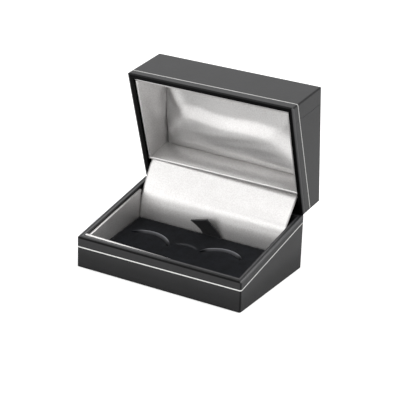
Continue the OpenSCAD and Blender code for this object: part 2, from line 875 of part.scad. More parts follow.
module pad_velvet() {
    color(velvet) union() {
        difference() {
            pad_slab(0, 0, velvet_t + foam_t + pad_card_t / 2);
            pad_slab(velvet_t, velvet_t, past + foam_t);
            for (side = [-1, 1])
                slit_ring(side, slit_r - slit_w / 2, slit_r + slit_w / 2, -past, past);
            finger_dish();
            ribbon_notch();
        }
        for (side = [-1, 1]) slit_lip_form(side);
    }
}

// Raised edge of the velvet behind a slit
module slit_lip_form(side) {
    // Step back from the edge of the slit
    back = 0.05;
    // Angle by which the lip stops short of each end of the slit
    short = 2;
    mid = 90 + side * slit_turn;
    on_pad() translate([slit_at(side)[0], slit_at(side)[1], 0])
        rotate([0, 0, mid - slit_span / 2 + short])
            rotate_extrude(angle = slit_span - 2 * short)
                translate([slit_r + slit_w / 2 + back, 0]) intersection() {
                    circle(r = slit_lip);
                    translate([0, -velvet_t / 2]) square(2 * slit_lip);
                }
}

// Shallow hollow between the slits
module finger_dish() {
    ball_r = (dish_r * dish_r + dish_depth * dish_depth) / (2 * dish_depth);
    on_pad() translate([pattern_shift, slit_at(1)[1], ball_r - dish_depth])
        sphere(r = ball_r, $fn = 96);
}

module pad_foam() {
    color(board) difference() {
        pad_slab(velvet_t, velvet_t, velvet_t + foam_t);
        for (side = [-1, 1])
            slit_ring(side, slit_r - slit_w / 2, slit_r + slit_w / 2, -foam_t, past);
        ribbon_notch();
    }
}

// Card folded down at the front and rear to hold the pad at its slope
module pad_card() {
    t = pad_card_t;
    color(board) side_view(2 * (pad_w - velvet_t) - pad_r)
        polygon([[card_f, floor_top], [card_f, card_z(card_f)], [card_b, card_z(card_b)],
                 [card_b, floor_top], [card_b - t, floor_top],
                 [card_b - t, card_z(card_b - t) - t / cos(pad_tilt)],
                 [card_f + t, card_z(card_f + t) - t / cos(pad_tilt)],
                 [card_f + t, floor_top]]);
}

// Ribbon glued behind the card, which comes up in an S-bend, and its loop
module lifting_ribbon() {
    steps = 10;
    low = floor_top + 1;
    top = pad_rear_h + ribbon_rise;
    half = ribbon_w / 2;
    // Twist of the loop, by which its right end stands higher
    twist = 1.1;
    fold = 1.4;
    // Share of the lean that is reached at height z, as an S-bend
    lean = function (z) pow(max(0, (z - pad_rear_h) / ribbon_rise), 1.3);
    points = [for (k = [0 : steps], s = [[-1, 0], [1, 0], [1, 1], [-1, 1]])
              let (z = k == 0 ? low : pad_rear_h + (k - 1) * ribbon_rise / (steps - 1),
                   thick = ribbon_t * (k == steps ? fold : 1))
              [ribbon_x + s[0] * half - ribbon_side * lean(z),
               card_b + s[1] * thick - ribbon_lean * lean(z),
               z + s[0] * twist * lean(z)]];
    walls = [for (k = [0 : steps - 1], s = [0 : 3], t = [0, 1])
             let (a = 4 * k + s, b = 4 * k + (s + 1) % 4)
             t == 0 ? [a, a + 4, b + 4] : [a, b + 4, b]];
    end = 4 * steps;
    color(velvet) polyhedron(points = points,
        faces = concat(walls, [[0, 1, 2], [0, 2, 3], [end, end + 2, end + 1],
                               [end, end + 3, end + 2]]));
}

base_shell();
base_covering();
base_foil_line();
base_underside_sheet();
base_front_liner();
base_left_liner();
base_right_liner();
base_rear_liner();
satin_flap();
base_hinge_leaf();
base_hinge_rivets();
hinge_pin();
snap_springs();
hinge_strip();
lid_shell();
lid_covering();
lid_side_coverings();
lid_foil_line();
lid_front_liner();
lid_left_liner();
lid_right_liner();
lid_rear_liner();
lid_cushion_card();
lid_cushion();
lid_hinge_leaf();
lid_hinge_rivets();
pad_card();
pad_foam();
pad_velvet();
lifting_ribbon();
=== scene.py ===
"""Dressed model of a hinged cufflink box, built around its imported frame.

The box stands open on a pale floor. Its shells are covered in dark leatherette with a pressed foil
line, the lid holds a satin cushion, and a satin flap hides the sprung hinge behind a velvet pad.
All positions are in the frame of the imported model; sizes in the classes are in millimetres.
"""

from __future__ import annotations

import logging
import math
from dataclasses import dataclass, field
from enum import Enum
from typing import Any, Iterable, Mapping, Sequence

import bmesh  # noqa: E402
import bpy  # noqa: E402
import numpy as np  # noqa: E402
from mathutils import Matrix, Vector, geometry  # noqa: E402

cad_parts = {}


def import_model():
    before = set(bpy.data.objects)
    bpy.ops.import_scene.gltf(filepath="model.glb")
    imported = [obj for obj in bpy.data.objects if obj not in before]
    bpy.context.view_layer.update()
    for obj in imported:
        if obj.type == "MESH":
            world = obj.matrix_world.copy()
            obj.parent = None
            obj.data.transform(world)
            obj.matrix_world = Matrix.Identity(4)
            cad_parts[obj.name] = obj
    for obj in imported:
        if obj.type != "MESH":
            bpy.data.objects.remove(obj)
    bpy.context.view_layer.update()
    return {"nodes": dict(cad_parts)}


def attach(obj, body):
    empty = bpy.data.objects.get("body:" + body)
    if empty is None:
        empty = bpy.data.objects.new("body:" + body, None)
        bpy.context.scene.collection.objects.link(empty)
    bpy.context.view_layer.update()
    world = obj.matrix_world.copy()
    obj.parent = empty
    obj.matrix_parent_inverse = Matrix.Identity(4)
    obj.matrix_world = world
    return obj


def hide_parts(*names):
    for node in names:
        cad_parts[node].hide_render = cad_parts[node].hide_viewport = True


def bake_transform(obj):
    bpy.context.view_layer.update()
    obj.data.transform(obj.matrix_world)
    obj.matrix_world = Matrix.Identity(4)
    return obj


LOG = logging.getLogger("cufflink_box")
MM = 0.001

Material = bpy.types.Material
Node = bpy.types.Node
NodeTree = bpy.types.NodeTree
Object = bpy.types.Object
Socket = bpy.types.NodeSocket


class Body(str, Enum):
    """The bodies that move against each other."""

    BASE = "base"
    LID = "lid"
    INSERT = "insert"


class Slot(str, Enum):
    """Material slots of the record."""

    SATIN = "satin"
    LEATHERETTE = "leatherette"
    STEEL = "steel"
    VELVET = "velvet"
    RIBBON = "ribbon"
    CARD = "card"


# --------------------------------------------------------------------------------------------------
# Colours and nodes


def linear(hex_colour: str) -> tuple[float, float, float, float]:
    """Turns an sRGB hex colour into linear values.

    Args:
        hex_colour: a colour such as "#38383a".

    Returns:
        Linear red, green, blue and an alpha of 1.
    """
    out = []
    for k in (1, 3, 5):
        c = int(hex_colour[k:k + 2], 16) / 255
        out.append(c / 12.92 if c <= 0.04045 else ((c + 0.055) / 1.055) ** 2.4)
    return out[0], out[1], out[2], 1.0


def ramp_stops(*stops: tuple[float, str]) -> dict[str, Any]:
    """Lists what a colour ramp is set to.

    Args:
        stops: position and hex colour of each of the two stops.

    Returns:
        Settings for add_node.
    """
    settings: dict[str, Any] = {}
    for k, (position, colour) in enumerate(stops):
        settings[f"color_ramp.elements[{k}].position"] = position
        settings[f"color_ramp.elements[{k}].color"] = linear(colour)
    return settings


def add_node(
    tree: NodeTree,
    kind: str,
    inputs: Mapping[str | int, Any] | None = None,
    settings: Mapping[str, Any] | None = None,
) -> Node:
    """Adds a node, sets it and links it.

    Args:
        tree: the tree that takes the node.
        kind: the node's type, without the ShaderNode that it starts with.
        inputs: values by socket, or an output socket to link from, or a node whose first output it is.
        settings: properties by their path from the node.

    Returns:
        The new node.
    """
    node = tree.nodes.new(f"ShaderNode{kind}")
    for path, value in (settings or {}).items():
        owner, _, name = path.rpartition(".")
        setattr(node.path_resolve(owner) if owner else node, name, value)
    for key, value in (inputs or {}).items():
        source = value.outputs[0] if isinstance(value, Node) else value
        if isinstance(source, Socket):
            tree.links.new(source, node.inputs[key])
        else:
            node.inputs[key].default_value = source
    return node


def new_material(name: str) -> tuple[Material, NodeTree]:
    """Makes a material without nodes.

    Args:
        name: the material's name.

    Returns:
        The material and its empty tree.
    """
    material = bpy.data.materials.new(name)
    material.use_nodes = True
    material.node_tree.nodes.clear()
    return material, material.node_tree


def per_metre(size_mm: float) -> float:
    """Returns the texture scale at which one pattern cell is size_mm wide."""
    return 1.0 / (size_mm * MM)


# --------------------------------------------------------------------------------------------------
# Finishes


@dataclass(frozen=True)
class EdgePlanes:
    """Outer planes of a covered shell, from which its rolled edges are found.

    The rim slopes from front to rear; z is measured in the shut box, in millimetres.
    """

    half_width: float
    front: float
    rear: float
    far: float
    rim_front: float
    rim_slope: float
    open_angle: float = 0.0
    pivot: tuple[float, float] = (26.45, 25.0)
    # How far the rim's crest lies inside the walls
    crest_in: float = 1.75

    def shut_point(self, tree: NodeTree) -> dict[Any, Any]:
        """Finds where the shaded point lies in the shut box.

        Args:
            tree: the material's tree.

        Returns:
            The sockets of x, y and z, in millimetres, by name.
        """
        point = add_node(tree, "TexCoord").outputs["Object"]
        place = (0.0, self.pivot[0] * MM, self.pivot[1] * MM)
        moved = add_node(tree, "VectorMath", {0: point, 1: place}, {"operation": "SUBTRACT"})
        turned = add_node(
            tree, "VectorRotate", {"Vector": moved, "Angle": math.radians(self.open_angle)},
            {"rotation_type": "X_AXIS"},
        )
        back = add_node(tree, "VectorMath", {0: turned, 1: place}, {"operation": "ADD"})
        scaled = add_node(tree, "VectorMath", {0: back, "Scale": 1 / MM}, {"operation": "SCALE"})
        return dict(zip("xyz", add_node(tree, "SeparateXYZ", {0: scaled}).outputs))

    def masks(self, tree: NodeTree) -> tuple[Node, ...]:
        """Builds the masks of the rolled edges, of the rim and of the walls' far part.

        Args:
            tree: the material's tree.

        Returns:
            Masks that are 1 on the rolled edges, where shade is painted, on the edges of the side walls'
            rims, where a highlight is painted, on the flat of the rim with its turned-down lining, which is
            painted darker, on the walls from the far plane half way up, which are painted darker towards the
            floor, and on the crest of the rim, where a highlight is painted.
        """
        made = self.shut_point(tree)
        # Distances from the planes, and sums of two that are small along the edge where they meet
        for name, operation, a, b in (
            ("across", "ABSOLUTE", "x", 0.0),
            ("side", "SUBTRACT", self.half_width, "across"),
            ("front", "SUBTRACT", "y", self.front),
            ("rear", "SUBTRACT", self.rear, "y"),
            ("climb", "MULTIPLY", "front", self.rim_slope),
            ("rim_z", "ADD", self.rim_front, "climb"),
            ("over_rim", "SUBTRACT", "z", "rim_z"),
            ("rim", "ABSOLUTE", "over_rim", 0.0),
            ("over_far", "SUBTRACT", "z", self.far),
            ("far", "ABSOLUTE", "over_far", 0.0),
            ("ends", "MINIMUM", "front", "rear"),
            ("wall", "MINIMUM", "side", "ends"),
            ("rim_edge", "ADD", "rim", "ends"),
            ("far_edge", "ADD", "far", "wall"),
            ("upright_edge", "ADD", "side", "ends"),
            ("lower_edge", "MINIMUM", "far_edge", "upright_edge"),
            ("edge", "MINIMUM", "rim_edge", "lower_edge"),
            ("side_rim_edge", "ADD", "rim", "side"),
            ("past_crest", "SUBTRACT", "wall", self.crest_in),
            ("off_crest", "ABSOLUTE", "past_crest", 0.0),
            ("near_rim", "LESS_THAN", "rim", 3.0),
            ("on_rim", "LESS_THAN", "rim", 1.0),
        ):
            made[name] = add_node(
                tree, "Math", {0: made.get(a, a), 1: made.get(b, b)}, {"operation": operation}
            )
        # Each mask rises smoothly from 0 at its first distance to 1 at its second
        for name, distance, none, full in (
            ("dark", "edge", 0.75, 0.4), ("pale", "side_rim_edge", 1.0, 0.5), ("flat", "wall", 0.35, 0.8),
            ("low", "far", 12.5, 4.0), ("crest", "off_crest", 0.45, 0.1),
        ):
            made[name] = add_node(
                tree, "MapRange", {"Value": made[distance], "From Min": none, "From Max": full},
                {"interpolation_type": "SMOOTHSTEP"},
            )
        for name, where in (("flat", "near_rim"), ("crest", "on_rim")):
            made[name] = add_node(tree, "Math", {0: made[name], 1: made[where]}, {"operation": "MULTIPLY"})
        return tuple(made[name] for name in ("dark", "pale", "flat", "low", "crest"))


@dataclass(frozen=True)
class Leatherette:
    """Polyurethane-coated cloth, calendered with a fine grain: nearly black, with a soft shine."""

    name: str
    planes: EdgePlanes
    low: str = "#161617"
    high: str = "#202022"
    grain_mm: float = 0.62
    roughness: float = 0.4
    # Painted highlight: how much paler the side walls' rim edges are painted, and the rim's crest
    side_edge_highlight: float = 1.6
    crest: float = 0.0
    # Painted shade: what is left of the colour on the rolled edges, on the rim and on the walls' far part
    edge_shade_keep: float = 0.15
    rim_shade_keep: float = 0.12
    floor_shade_keep: float = 1.0

    def build(self) -> Material:
        """Builds the finish.

        Returns:
            The material.
        """
        material, tree = new_material(self.name)
        point = add_node(tree, "TexCoord").outputs["Object"]
        # Pebbled grain of about 0.3 mm on the real cloth, drawn twice as coarse so that it shows
        cells = add_node(
            tree, "TexVoronoi", {"Vector": point, "Scale": per_metre(self.grain_mm), "Smoothness": 0.6},
            {"feature": "SMOOTH_F1"},
        )
        fine, broad = (
            add_node(tree, "TexNoise", {
                "Vector": point, "Scale": per_metre(size), "Detail": 3.0, "Roughness": rough})
            for size, rough in ((0.45, 0.6), (9.0, 0.55))
        )
        mixed = add_node(tree, "Mix", {0: 0.45, 2: fine, 3: broad})
        colour = add_node(tree, "ValToRGB", {"Fac": mixed}, ramp_stops((0.36, self.low), (0.64, self.high)))
        # Painted shade and highlight: the rolled edges are painted dark, the side walls' rim edges and the
        # rim's crest painted pale, the rim painted darker by its own share, and the walls painted darker
        # towards the floor
        dark, pale, rim, floor_shade_mask, crest = self.planes.masks(tree)
        keep: Node | float = 1.0
        # Painted shade on the rolled edges, on the rim and on the walls towards the floor
        for mask, share in ((dark, self.edge_shade_keep), (rim, self.rim_shade_keep), (floor_shade_mask, self.floor_shade_keep)):
            kept = add_node(tree, "Math", {0: mask, 1: share - 1.0, 2: 1.0}, {"operation": "MULTIPLY_ADD"})
            keep = add_node(tree, "Math", {0: keep, 1: kept}, {"operation": "MULTIPLY"})
        # Painted highlight on the side walls' rim edges and on the rim's crest
        for mask, share in ((pale, self.side_edge_highlight), (crest, self.crest)):
            keep = add_node(tree, "Math", {0: mask, 1: share, 2: keep}, {"operation": "MULTIPLY_ADD"})
        shade = add_node(tree, "VectorMath", {0: colour, "Scale": keep}, {"operation": "SCALE"})
        # The specular level follows the painted shade and highlight
        gloss = add_node(tree, "Math", {0: keep, 1: 0.5}, {"operation": "MULTIPLY", "use_clamp": True})
        height = add_node(tree, "Math", {0: cells, 1: 0.7, 2: fine}, {"operation": "MULTIPLY_ADD"})
        normal = add_node(tree, "Bump", {"Height": height, "Distance": 0.05 * MM, "Strength": 0.45})
        shader = add_node(tree, "BsdfPrincipled", {
            "Base Color": shade, "Specular IOR Level": gloss, "Normal": normal,
            "Roughness": self.roughness, "IOR": 1.5})
        add_node(tree, "OutputMaterial", {"Surface": shader})
        return material


@dataclass(frozen=True)
class PressedFoil:
    """Pale metallised foil, hot-pressed into the grain, which breaks its shine up a little."""

    name: str = "pressed_foil"
    wear_and_sheen: str = "#d6d6d4"
    colour: str = "#f4f4f2"

    def build(self) -> Material:
        """Builds the finish.

        Returns:
            The material.
        """
        material, tree = new_material(self.name)
        point = add_node(tree, "TexCoord").outputs["Object"]
        # The foil skips on pebbles of 0.3 mm, which run together into worn spots of 0.8 mm
        wear_and_sheen = add_node(tree, "TexNoise", {
            "Vector": point, "Scale": per_metre(0.8), "Detail": 2.0, "Roughness": 0.6})
        colour = add_node(tree, "ValToRGB", {"Fac": wear_and_sheen}, ramp_stops((0.25, self.wear_and_sheen), (0.5, self.colour)))
        normal = add_node(tree, "Bump", {"Height": wear_and_sheen, "Distance": 0.03 * MM, "Strength": 0.4})
        shader = add_node(tree, "BsdfPrincipled", {
            "Base Color": colour, "Normal": normal, "Metallic": 0.35, "Roughness": 0.38})
        add_node(tree, "OutputMaterial", {"Surface": shader})
        return material


@dataclass(frozen=True)
class Satin:
    """Acetate satin, woven with long floats: pale, with a broad soft shine."""

    name: str = "acetate_satin"
    low: str = "#c6c4c3"
    high: str = "#d6d5d4"
    thread_mm: float = 0.5
    roughness: float = 0.37

    def build(self) -> Material:
        """Builds the finish.

        Returns:
            The material.
        """
        material, tree = new_material(self.name)
        point = add_node(tree, "TexCoord").outputs["Object"]
        # Threads of 0.1 mm, drawn at 0.5 mm so that the weave shows as a fine speckle, and blotches
        # of 7 mm where the cloth was handled
        weave, broad = (
            add_node(tree, "TexNoise", {
                "Vector": point, "Scale": per_metre(size), "Detail": 2.0, "Roughness": rough})
            for size, rough in ((self.thread_mm, 0.7), (7.0, 0.5))
        )
        mixed = add_node(tree, "Mix", {0: 0.15, 2: weave, 3: broad})
        colour = add_node(tree, "ValToRGB", {"Fac": mixed}, ramp_stops((0.38, self.low), (0.6, self.high)))
        # Painted light and shade: a point attribute makes the satin paler where light is painted and darker
        # where shade is painted
        painted_light = add_node(tree, "Attribute", settings={"attribute_name": "painted_light"}).outputs["Fac"]
        tone = add_node(tree, "Math", {0: painted_light, 1: 1.0}, {"operation": "ADD"})
        toned = add_node(tree, "VectorMath", {0: colour, "Scale": tone}, {"operation": "SCALE"})
        normal = add_node(tree, "Bump", {"Height": weave, "Distance": 0.05 * MM, "Strength": 0.33})
        # Filament yarns mirror a good part of the light in their own colour, as a metal does
        shader = add_node(tree, "BsdfPrincipled", {
            "Base Color": toned, "Normal": normal, "Roughness": self.roughness, "Metallic": 0.65})
        add_node(tree, "OutputMaterial", {"Surface": shader})
        return material


@dataclass(frozen=True)
class Velvet:
    """Short-pile cotton velvet: nearly black, with blotches where the pile leans."""

    name: str = "cotton_velvet"
    low: str = "#040507"
    high: str = "#13151a"
    painted_sheen_grey: str = "#8c8d91"

    def build(self) -> Material:
        """Builds the finish.

        Returns:
            The material.
        """
        material, tree = new_material(self.name)
        point = add_node(tree, "TexCoord").outputs["Object"]
        # Tufts of 0.2 mm, drawn at 0.5 mm so that they show, and 4 mm blotches of leaning pile
        pile, lean = (
            add_node(tree, "TexNoise", {
                "Vector": point, "Scale": per_metre(size), "Detail": detail, "Roughness": rough})
            for size, detail, rough in ((0.5, 2.0, 0.7), (4.0, 3.0, 0.6))
        )
        mixed = add_node(tree, "Mix", {0: 0.5, 2: pile, 3: lean})
        colour = add_node(tree, "ValToRGB", {"Fac": mixed}, ramp_stops((0.36, self.low), (0.62, self.high)))
        # Painted sheen: a point attribute mixes in a paler grey along the rear lip of each slit and on the
        # rim of the dish
        wear_and_sheen = add_node(tree, "Attribute", settings={"attribute_name": "wear_and_sheen"}).outputs["Fac"]
        shown = add_node(
            tree, "Mix", {"Factor": wear_and_sheen, 6: colour, 7: linear(self.painted_sheen_grey)}, {"data_type": "RGBA"}
        ).outputs[2]
        normal = add_node(tree, "Bump", {"Height": pile, "Distance": 0.12 * MM, "Strength": 0.6})
        shader = add_node(tree, "BsdfPrincipled", {
            "Base Color": shown, "Normal": normal, "Roughness": 0.95, "Specular IOR Level": 0.1,
            "Sheen Weight": 0.05, "Sheen Roughness": 0.5})
        add_node(tree, "OutputMaterial", {"Surface": shader})
        return material


@dataclass(frozen=True)
class RibbedRibbon:
    """Polyester grosgrain: black, with fine ribs across its length."""

    name: str = "grosgrain_ribbon"
    low: str = "#08080a"
    high: str = "#141518"
    rib_mm: float = 0.7

    def build(self) -> Material:
        """Builds the finish.

        Returns:
            The material.
        """
        material, tree = new_material(self.name)
        point = add_node(tree, "TexCoord").outputs["Object"]
        # Ribs of 0.4 mm, drawn at 0.7 mm so that they show
        ribs = add_node(
            tree, "TexWave",
            {"Vector": point, "Scale": per_metre(self.rib_mm) * math.pi / 10, "Distortion": 0.6},
            {"bands_direction": "Z"},
        ).outputs["Fac"]
        colour = add_node(tree, "ValToRGB", {"Fac": ribs}, ramp_stops((0.0, self.low), (1.0, self.high)))
        normal = add_node(tree, "Bump", {"Height": ribs, "Distance": 0.06 * MM, "Strength": 0.5})
        shader = add_node(tree, "BsdfPrincipled", {
            "Base Color": colour, "Normal": normal, "Roughness": 0.6, "Sheen Weight": 0.1})
        add_node(tree, "OutputMaterial", {"Surface": shader})
        return material


@dataclass(frozen=True)
class SheetSteel:
    """Cold-rolled steel sheet, nickel-plated: fine lines along the rolling direction."""

    name: str = "rolled_steel"
    low: str = "#8f9093"
    high: str = "#b4b5b8"

    def build(self) -> Material:
        """Builds the finish.

        Returns:
            The material.
        """
        material, tree = new_material(self.name)
        point = add_node(tree, "TexCoord").outputs["Object"]
        # Rolling lines of 0.05 mm, drawn at 0.25 mm and twenty times as long so that they show
        along = add_node(tree, "Mapping", {"Vector": point, "Scale": (0.05, 1.0, 1.0)})
        lines = add_node(tree, "TexNoise", {
            "Vector": along, "Scale": per_metre(0.25), "Detail": 2.0, "Roughness": 0.6})
        colour = add_node(tree, "ValToRGB", {"Fac": lines}, ramp_stops((0.3, self.low), (0.7, self.high)))
        normal = add_node(tree, "Bump", {"Height": lines, "Distance": 0.01 * MM, "Strength": 0.4})
        shader = add_node(tree, "BsdfPrincipled", {
            "Base Color": colour, "Normal": normal, "Metallic": 1.0, "Roughness": 0.32})
        add_node(tree, "OutputMaterial", {"Surface": shader})
        return material


@dataclass(frozen=True)
class PlainBoard:
    """Moulded or pressed board without a finish of its own: flat, fibrous and dull."""

    name: str = "plain_board"
    low: str = "#1c1c1e"
    high: str = "#2a2a2c"
    roughness: float = 0.8

    def build(self) -> Material:
        """Builds the finish.

        Returns:
            The material.
        """
        material, tree = new_material(self.name)
        point = add_node(tree, "TexCoord").outputs["Object"]
        # Clumps of fibre are 1 to 2 mm wide and leave the board mottled
        fibre = add_node(tree, "TexNoise", {
            "Vector": point, "Scale": per_metre(1.2), "Detail": 4.0, "Roughness": 0.65})
        colour = add_node(tree, "ValToRGB", {"Fac": fibre}, ramp_stops((0.35, self.low), (0.65, self.high)))
        normal = add_node(tree, "Bump", {"Height": fibre, "Distance": 0.04 * MM, "Strength": 0.4})
        shader = add_node(tree, "BsdfPrincipled", {
            "Base Color": colour, "Normal": normal, "Roughness": self.roughness})
        add_node(tree, "OutputMaterial", {"Surface": shader})
        return material


@dataclass
class Wardrobe:
    """Every finish of the box, each built once."""

    # Painted shade and highlight: the base's walls are darker towards the floor and its rim a little darker
    # with a highlight on its crest; the lid's rim is much darker
    base_leather: Material = field(default_factory=lambda: Leatherette(
        "base_leatherette", EdgePlanes(40.0, -26.85, 26.85, 0.0, 13.9, 0.19926),
        rim_shade_keep=0.9, floor_shade_keep=0.66, crest=2.2).build())
    lid_leather: Material = field(default_factory=lambda: Leatherette(
        "lid_leatherette", EdgePlanes(40.0, -26.85, 26.85, 39.9, 14.1, 0.2104, 84.4)).build())
    foil: Material = field(default_factory=lambda: PressedFoil().build())
    # The lid's foil line is a darker copy of the same foil: painted shade
    shaded_lid_foil: Material = field(
        default_factory=lambda: PressedFoil("pressed_foil_painted_shade", "#b4b4b2", "#d2d2d0").build()
    )
    satin: Material = field(default_factory=lambda: Satin().build())
    velvet: Material = field(default_factory=lambda: Velvet().build())
    ribbon: Material = field(default_factory=lambda: RibbedRibbon().build())
    steel: Material = field(default_factory=lambda: SheetSteel().build())
    shell: Material = field(default_factory=lambda: PlainBoard("moulded_shell").build())
    card: Material = field(default_factory=lambda: PlainBoard("grey_card", "#3a3a3c", "#4a4a4c").build())
    paper: Material = field(
        default_factory=lambda: PlainBoard("black_paper", "#131314", "#1d1d1f", 0.9).build()
    )


# --------------------------------------------------------------------------------------------------
# Mesh helpers


def add_object(name: str, data: bpy.types.ID) -> Object:
    """Adds an object for a mesh, a lamp or a camera to the scene.

    Args:
        name: the object's name.
        data: what it shows.

    Returns:
        The new object.
    """
    added = bpy.data.objects.new(name, data)
    bpy.context.scene.collection.objects.link(added)
    return added


def to_object(name: str, points: np.ndarray, faces: Sequence[Sequence[int]], smooth: bool = True) -> Object:
    """Makes a mesh object from points in millimetres.

    Args:
        name: the piece's name.
        points: an n by 3 array in millimetres.
        faces: vertex indices of each face.
        smooth: whether faces are shaded smooth.

    Returns:
        The new object, in the scene.
    """
    mesh = bpy.data.meshes.new(name)
    mesh.from_pydata([tuple(p) for p in np.asarray(points, float) * MM], [], [tuple(f) for f in faces])
    mesh.update()
    if smooth:
        mesh.polygons.foreach_set("use_smooth", [True] * len(mesh.polygons))
    return add_object(name, mesh)


def dress(piece: Object, material: Material) -> Object:
    """Gives a piece one material all over.

    Args:
        piece: the mesh object.
        material: its finish.

    Returns:
        The same piece.
    """
    piece.data.materials.clear()
    piece.data.materials.append(material)
    piece.data.polygons.foreach_set("material_index", [0] * len(piece.data.polygons))
    return piece


def crease_by_angle(piece: Object, degrees: float) -> None:
    """Keeps sharp edges crisp, and weights normals by face area.

    Args:
        piece: the mesh object.
        degrees: the angle from which an edge is sharp.
    """
    piece.data.polygons.foreach_set("use_smooth", [True] * len(piece.data.polygons))
    piece.data.set_sharp_from_angle(angle=math.radians(degrees))
    weighted = piece.modifiers.new("weighted", "WEIGHTED_NORMAL")
    weighted.keep_sharp = True
    bake_modifiers(piece)


def set_tone(piece: Object, tone: np.ndarray) -> None:
    """Gives each point of a satin piece its painted light and shade, 0 being plain cloth."""
    piece.data.attributes.new("painted_light", "FLOAT", "POINT").data.foreach_set("value", tone)


def paint_light_and_shade(
    piece: Object,
    painted_shade: tuple[float, float, float],
    painted_light: tuple[float, float, float],
    low: float,
    high: float,
) -> None:
    """Paints light and shade on a satin piece, along a line between two places.

    Args:
        piece: the satin piece.
        painted_shade: the place with the most painted shade, in millimetres.
        painted_light: the place with the most painted light, in millimetres.
        low: tone at the most shaded place, 0 being plain cloth.
        high: tone at the most lit place.
    """
    a, b = np.asarray(painted_shade), np.asarray(painted_light)
    points = np.array([v.co for v in piece.data.vertices]) / MM
    share = np.clip((points - a) @ (b - a) / ((b - a) @ (b - a)), 0, 1)
    set_tone(piece, low + (high - low) * share)


def bake_modifiers(piece: Object) -> None:
    """Replaces a piece's mesh by the one that its modifiers give.

    Args:
        piece: the mesh object, whose modifiers go.
    """
    depsgraph = bpy.context.evaluated_depsgraph_get()
    done = bpy.data.meshes.new_from_object(piece.evaluated_get(depsgraph))
    old = piece.data
    piece.modifiers.clear()
    piece.data = done
    bpy.data.meshes.remove(old)


def grid_normals(grid: np.ndarray) -> np.ndarray:
    """Finds the unit normals of a grid of points.

    Args:
        grid: an n by m by 3 array.

    Returns:
        Normals along the rows crossed with the columns.
    """
    along = np.gradient(grid, axis=1)
    across = np.gradient(grid, axis=0)
    normal = np.cross(along, across)
    return normal / np.linalg.norm(normal, axis=2, keepdims=True)


def closed_pair(name: str, front: np.ndarray, back: np.ndarray) -> Object:
    """Joins two grids of the same size into one closed piece.

    Args:
        name: the piece's name.
        front: an n by m by 3 grid, whose normals point out.
        back: the grid on the other side.

    Returns:
        The closed piece.
    """
    n, m = front.shape[:2]
    points = np.concatenate([front.reshape(-1, 3), back.reshape(-1, 3)])

    def at(side: int, j: int, i: int) -> int:
        """Index of a point of one side."""
        return side * n * m + j * m + i

    faces = []
    for j in range(n - 1):
        for i in range(m - 1):
            faces.append((at(0, j, i), at(0, j, i + 1), at(0, j + 1, i + 1), at(0, j + 1, i)))
            faces.append((at(1, j, i), at(1, j + 1, i), at(1, j + 1, i + 1), at(1, j, i + 1)))
    for i in range(m - 1):
        faces.append((at(0, 0, i + 1), at(0, 0, i), at(1, 0, i), at(1, 0, i + 1)))
        faces.append((at(0, n - 1, i), at(0, n - 1, i + 1), at(1, n - 1, i + 1), at(1, n - 1, i)))
    for j in range(n - 1):
        faces.append((at(0, j, 0), at(0, j + 1, 0), at(1, j + 1, 0), at(1, j, 0)))
        faces.append((at(0, j + 1, m - 1), at(0, j, m - 1), at(1, j, m - 1), at(1, j + 1, m - 1)))
    return to_object(name, points, faces)


def sheet(name: str, grid: np.ndarray, thickness: float) -> Object:
    """Makes a closed sheet about a grid of points.

    Args:
        name: the piece's name.
        grid: an n by m by 3 array of the sheet's middle.
        thickness: its thickness in millimetres.

    Returns:
        The closed sheet.
    """
    half = grid_normals(grid) * thickness / 2
    return closed_pair(name, grid + half, grid - half)


def swept(line: np.ndarray, across: np.ndarray) -> np.ndarray:
    """Draws a line of the side view out across the box.

    Args:
        line: an n by 2 array of y and z.
        across: m places from side to side.

    Returns:
        An n by m by 3 grid.
    """
    grid = np.zeros((len(line), len(across), 3))
    grid[:, :, 0] = across[None, :]
    grid[:, :, 1:] = line[:, None, :]
    return grid


def smoothstep(low: float, high: float, value: np.ndarray | float) -> np.ndarray | float:
    """Eases from 0 to 1.

    Args:
        low: the value from which it rises, which may be the higher one.
        high: the value at which it ends.
        value: where it is taken.

    Returns:
        0 before low, 1 past high and a smooth rise between.
    """
    t = np.clip((np.asarray(value, float) - low) / (high - low), 0.0, 1.0)
    return t * t * (3 - 2 * t)


def distance_to_path(
    x: np.ndarray, y: np.ndarray, path: Sequence[tuple[float, float]]
) -> tuple[np.ndarray, np.ndarray]:
    """Measures points against a path in the plane.

    Args:
        x: first coordinates.
        y: second coordinates.
        path: corners of the path.

    Returns:
        The signed distance, positive on the left of the path, and the share of the path's length
        at the nearest point.
    """
    best = np.full(x.shape, np.inf)
    signed = np.zeros(x.shape)
    share = np.zeros(x.shape)
    corners = np.asarray(path, float)
    lengths = np.linalg.norm(np.diff(corners, axis=0), axis=1)
    total = lengths.sum()
    run = 0.0
    for (x0, y0), (x1, y1), length in zip(corners[:-1], corners[1:], lengths):
        dx, dy = (x1 - x0) / length, (y1 - y0) / length
        t = np.clip((x - x0) * dx + (y - y0) * dy, 0, length)
        px, py = x - (x0 + dx * t), y - (y0 + dy * t)
        d = np.hypot(px, py)
        near = d < best
        best = np.where(near, d, best)
        signed = np.where(near, np.sign(dx * py - dy * px) * d, signed)
        share = np.where(near, (run + t) / total, share)
        run += length
    return signed, share


def smooth_path(path: Sequence[tuple[float, float]], steps: int = 8) -> list[tuple[float, float]]:
    """Rounds a path through its corners with a spline.

    Args:
        path: points that the path goes through.
        steps: pieces between two points.

    Returns:
        The points of the rounded path.
    """
    p = np.asarray([path[0], *path, path[-1]], float)
    out: list[tuple[float, float]] = []
    for a, b, c, d in zip(p[:-3], p[1:-2], p[2:-1], p[3:]):
        for k in range(steps):
            t = k / steps
            q = 0.5 * (2 * b + (c - a) * t + (2 * a - 5 * b + 4 * c - d) * t * t
                       + (3 * b - a - 3 * c + d) * t ** 3)
            out.append((float(q[0]), float(q[1])))
    out.append((float(p[-1][0]), float(p[-1][1])))
    return out


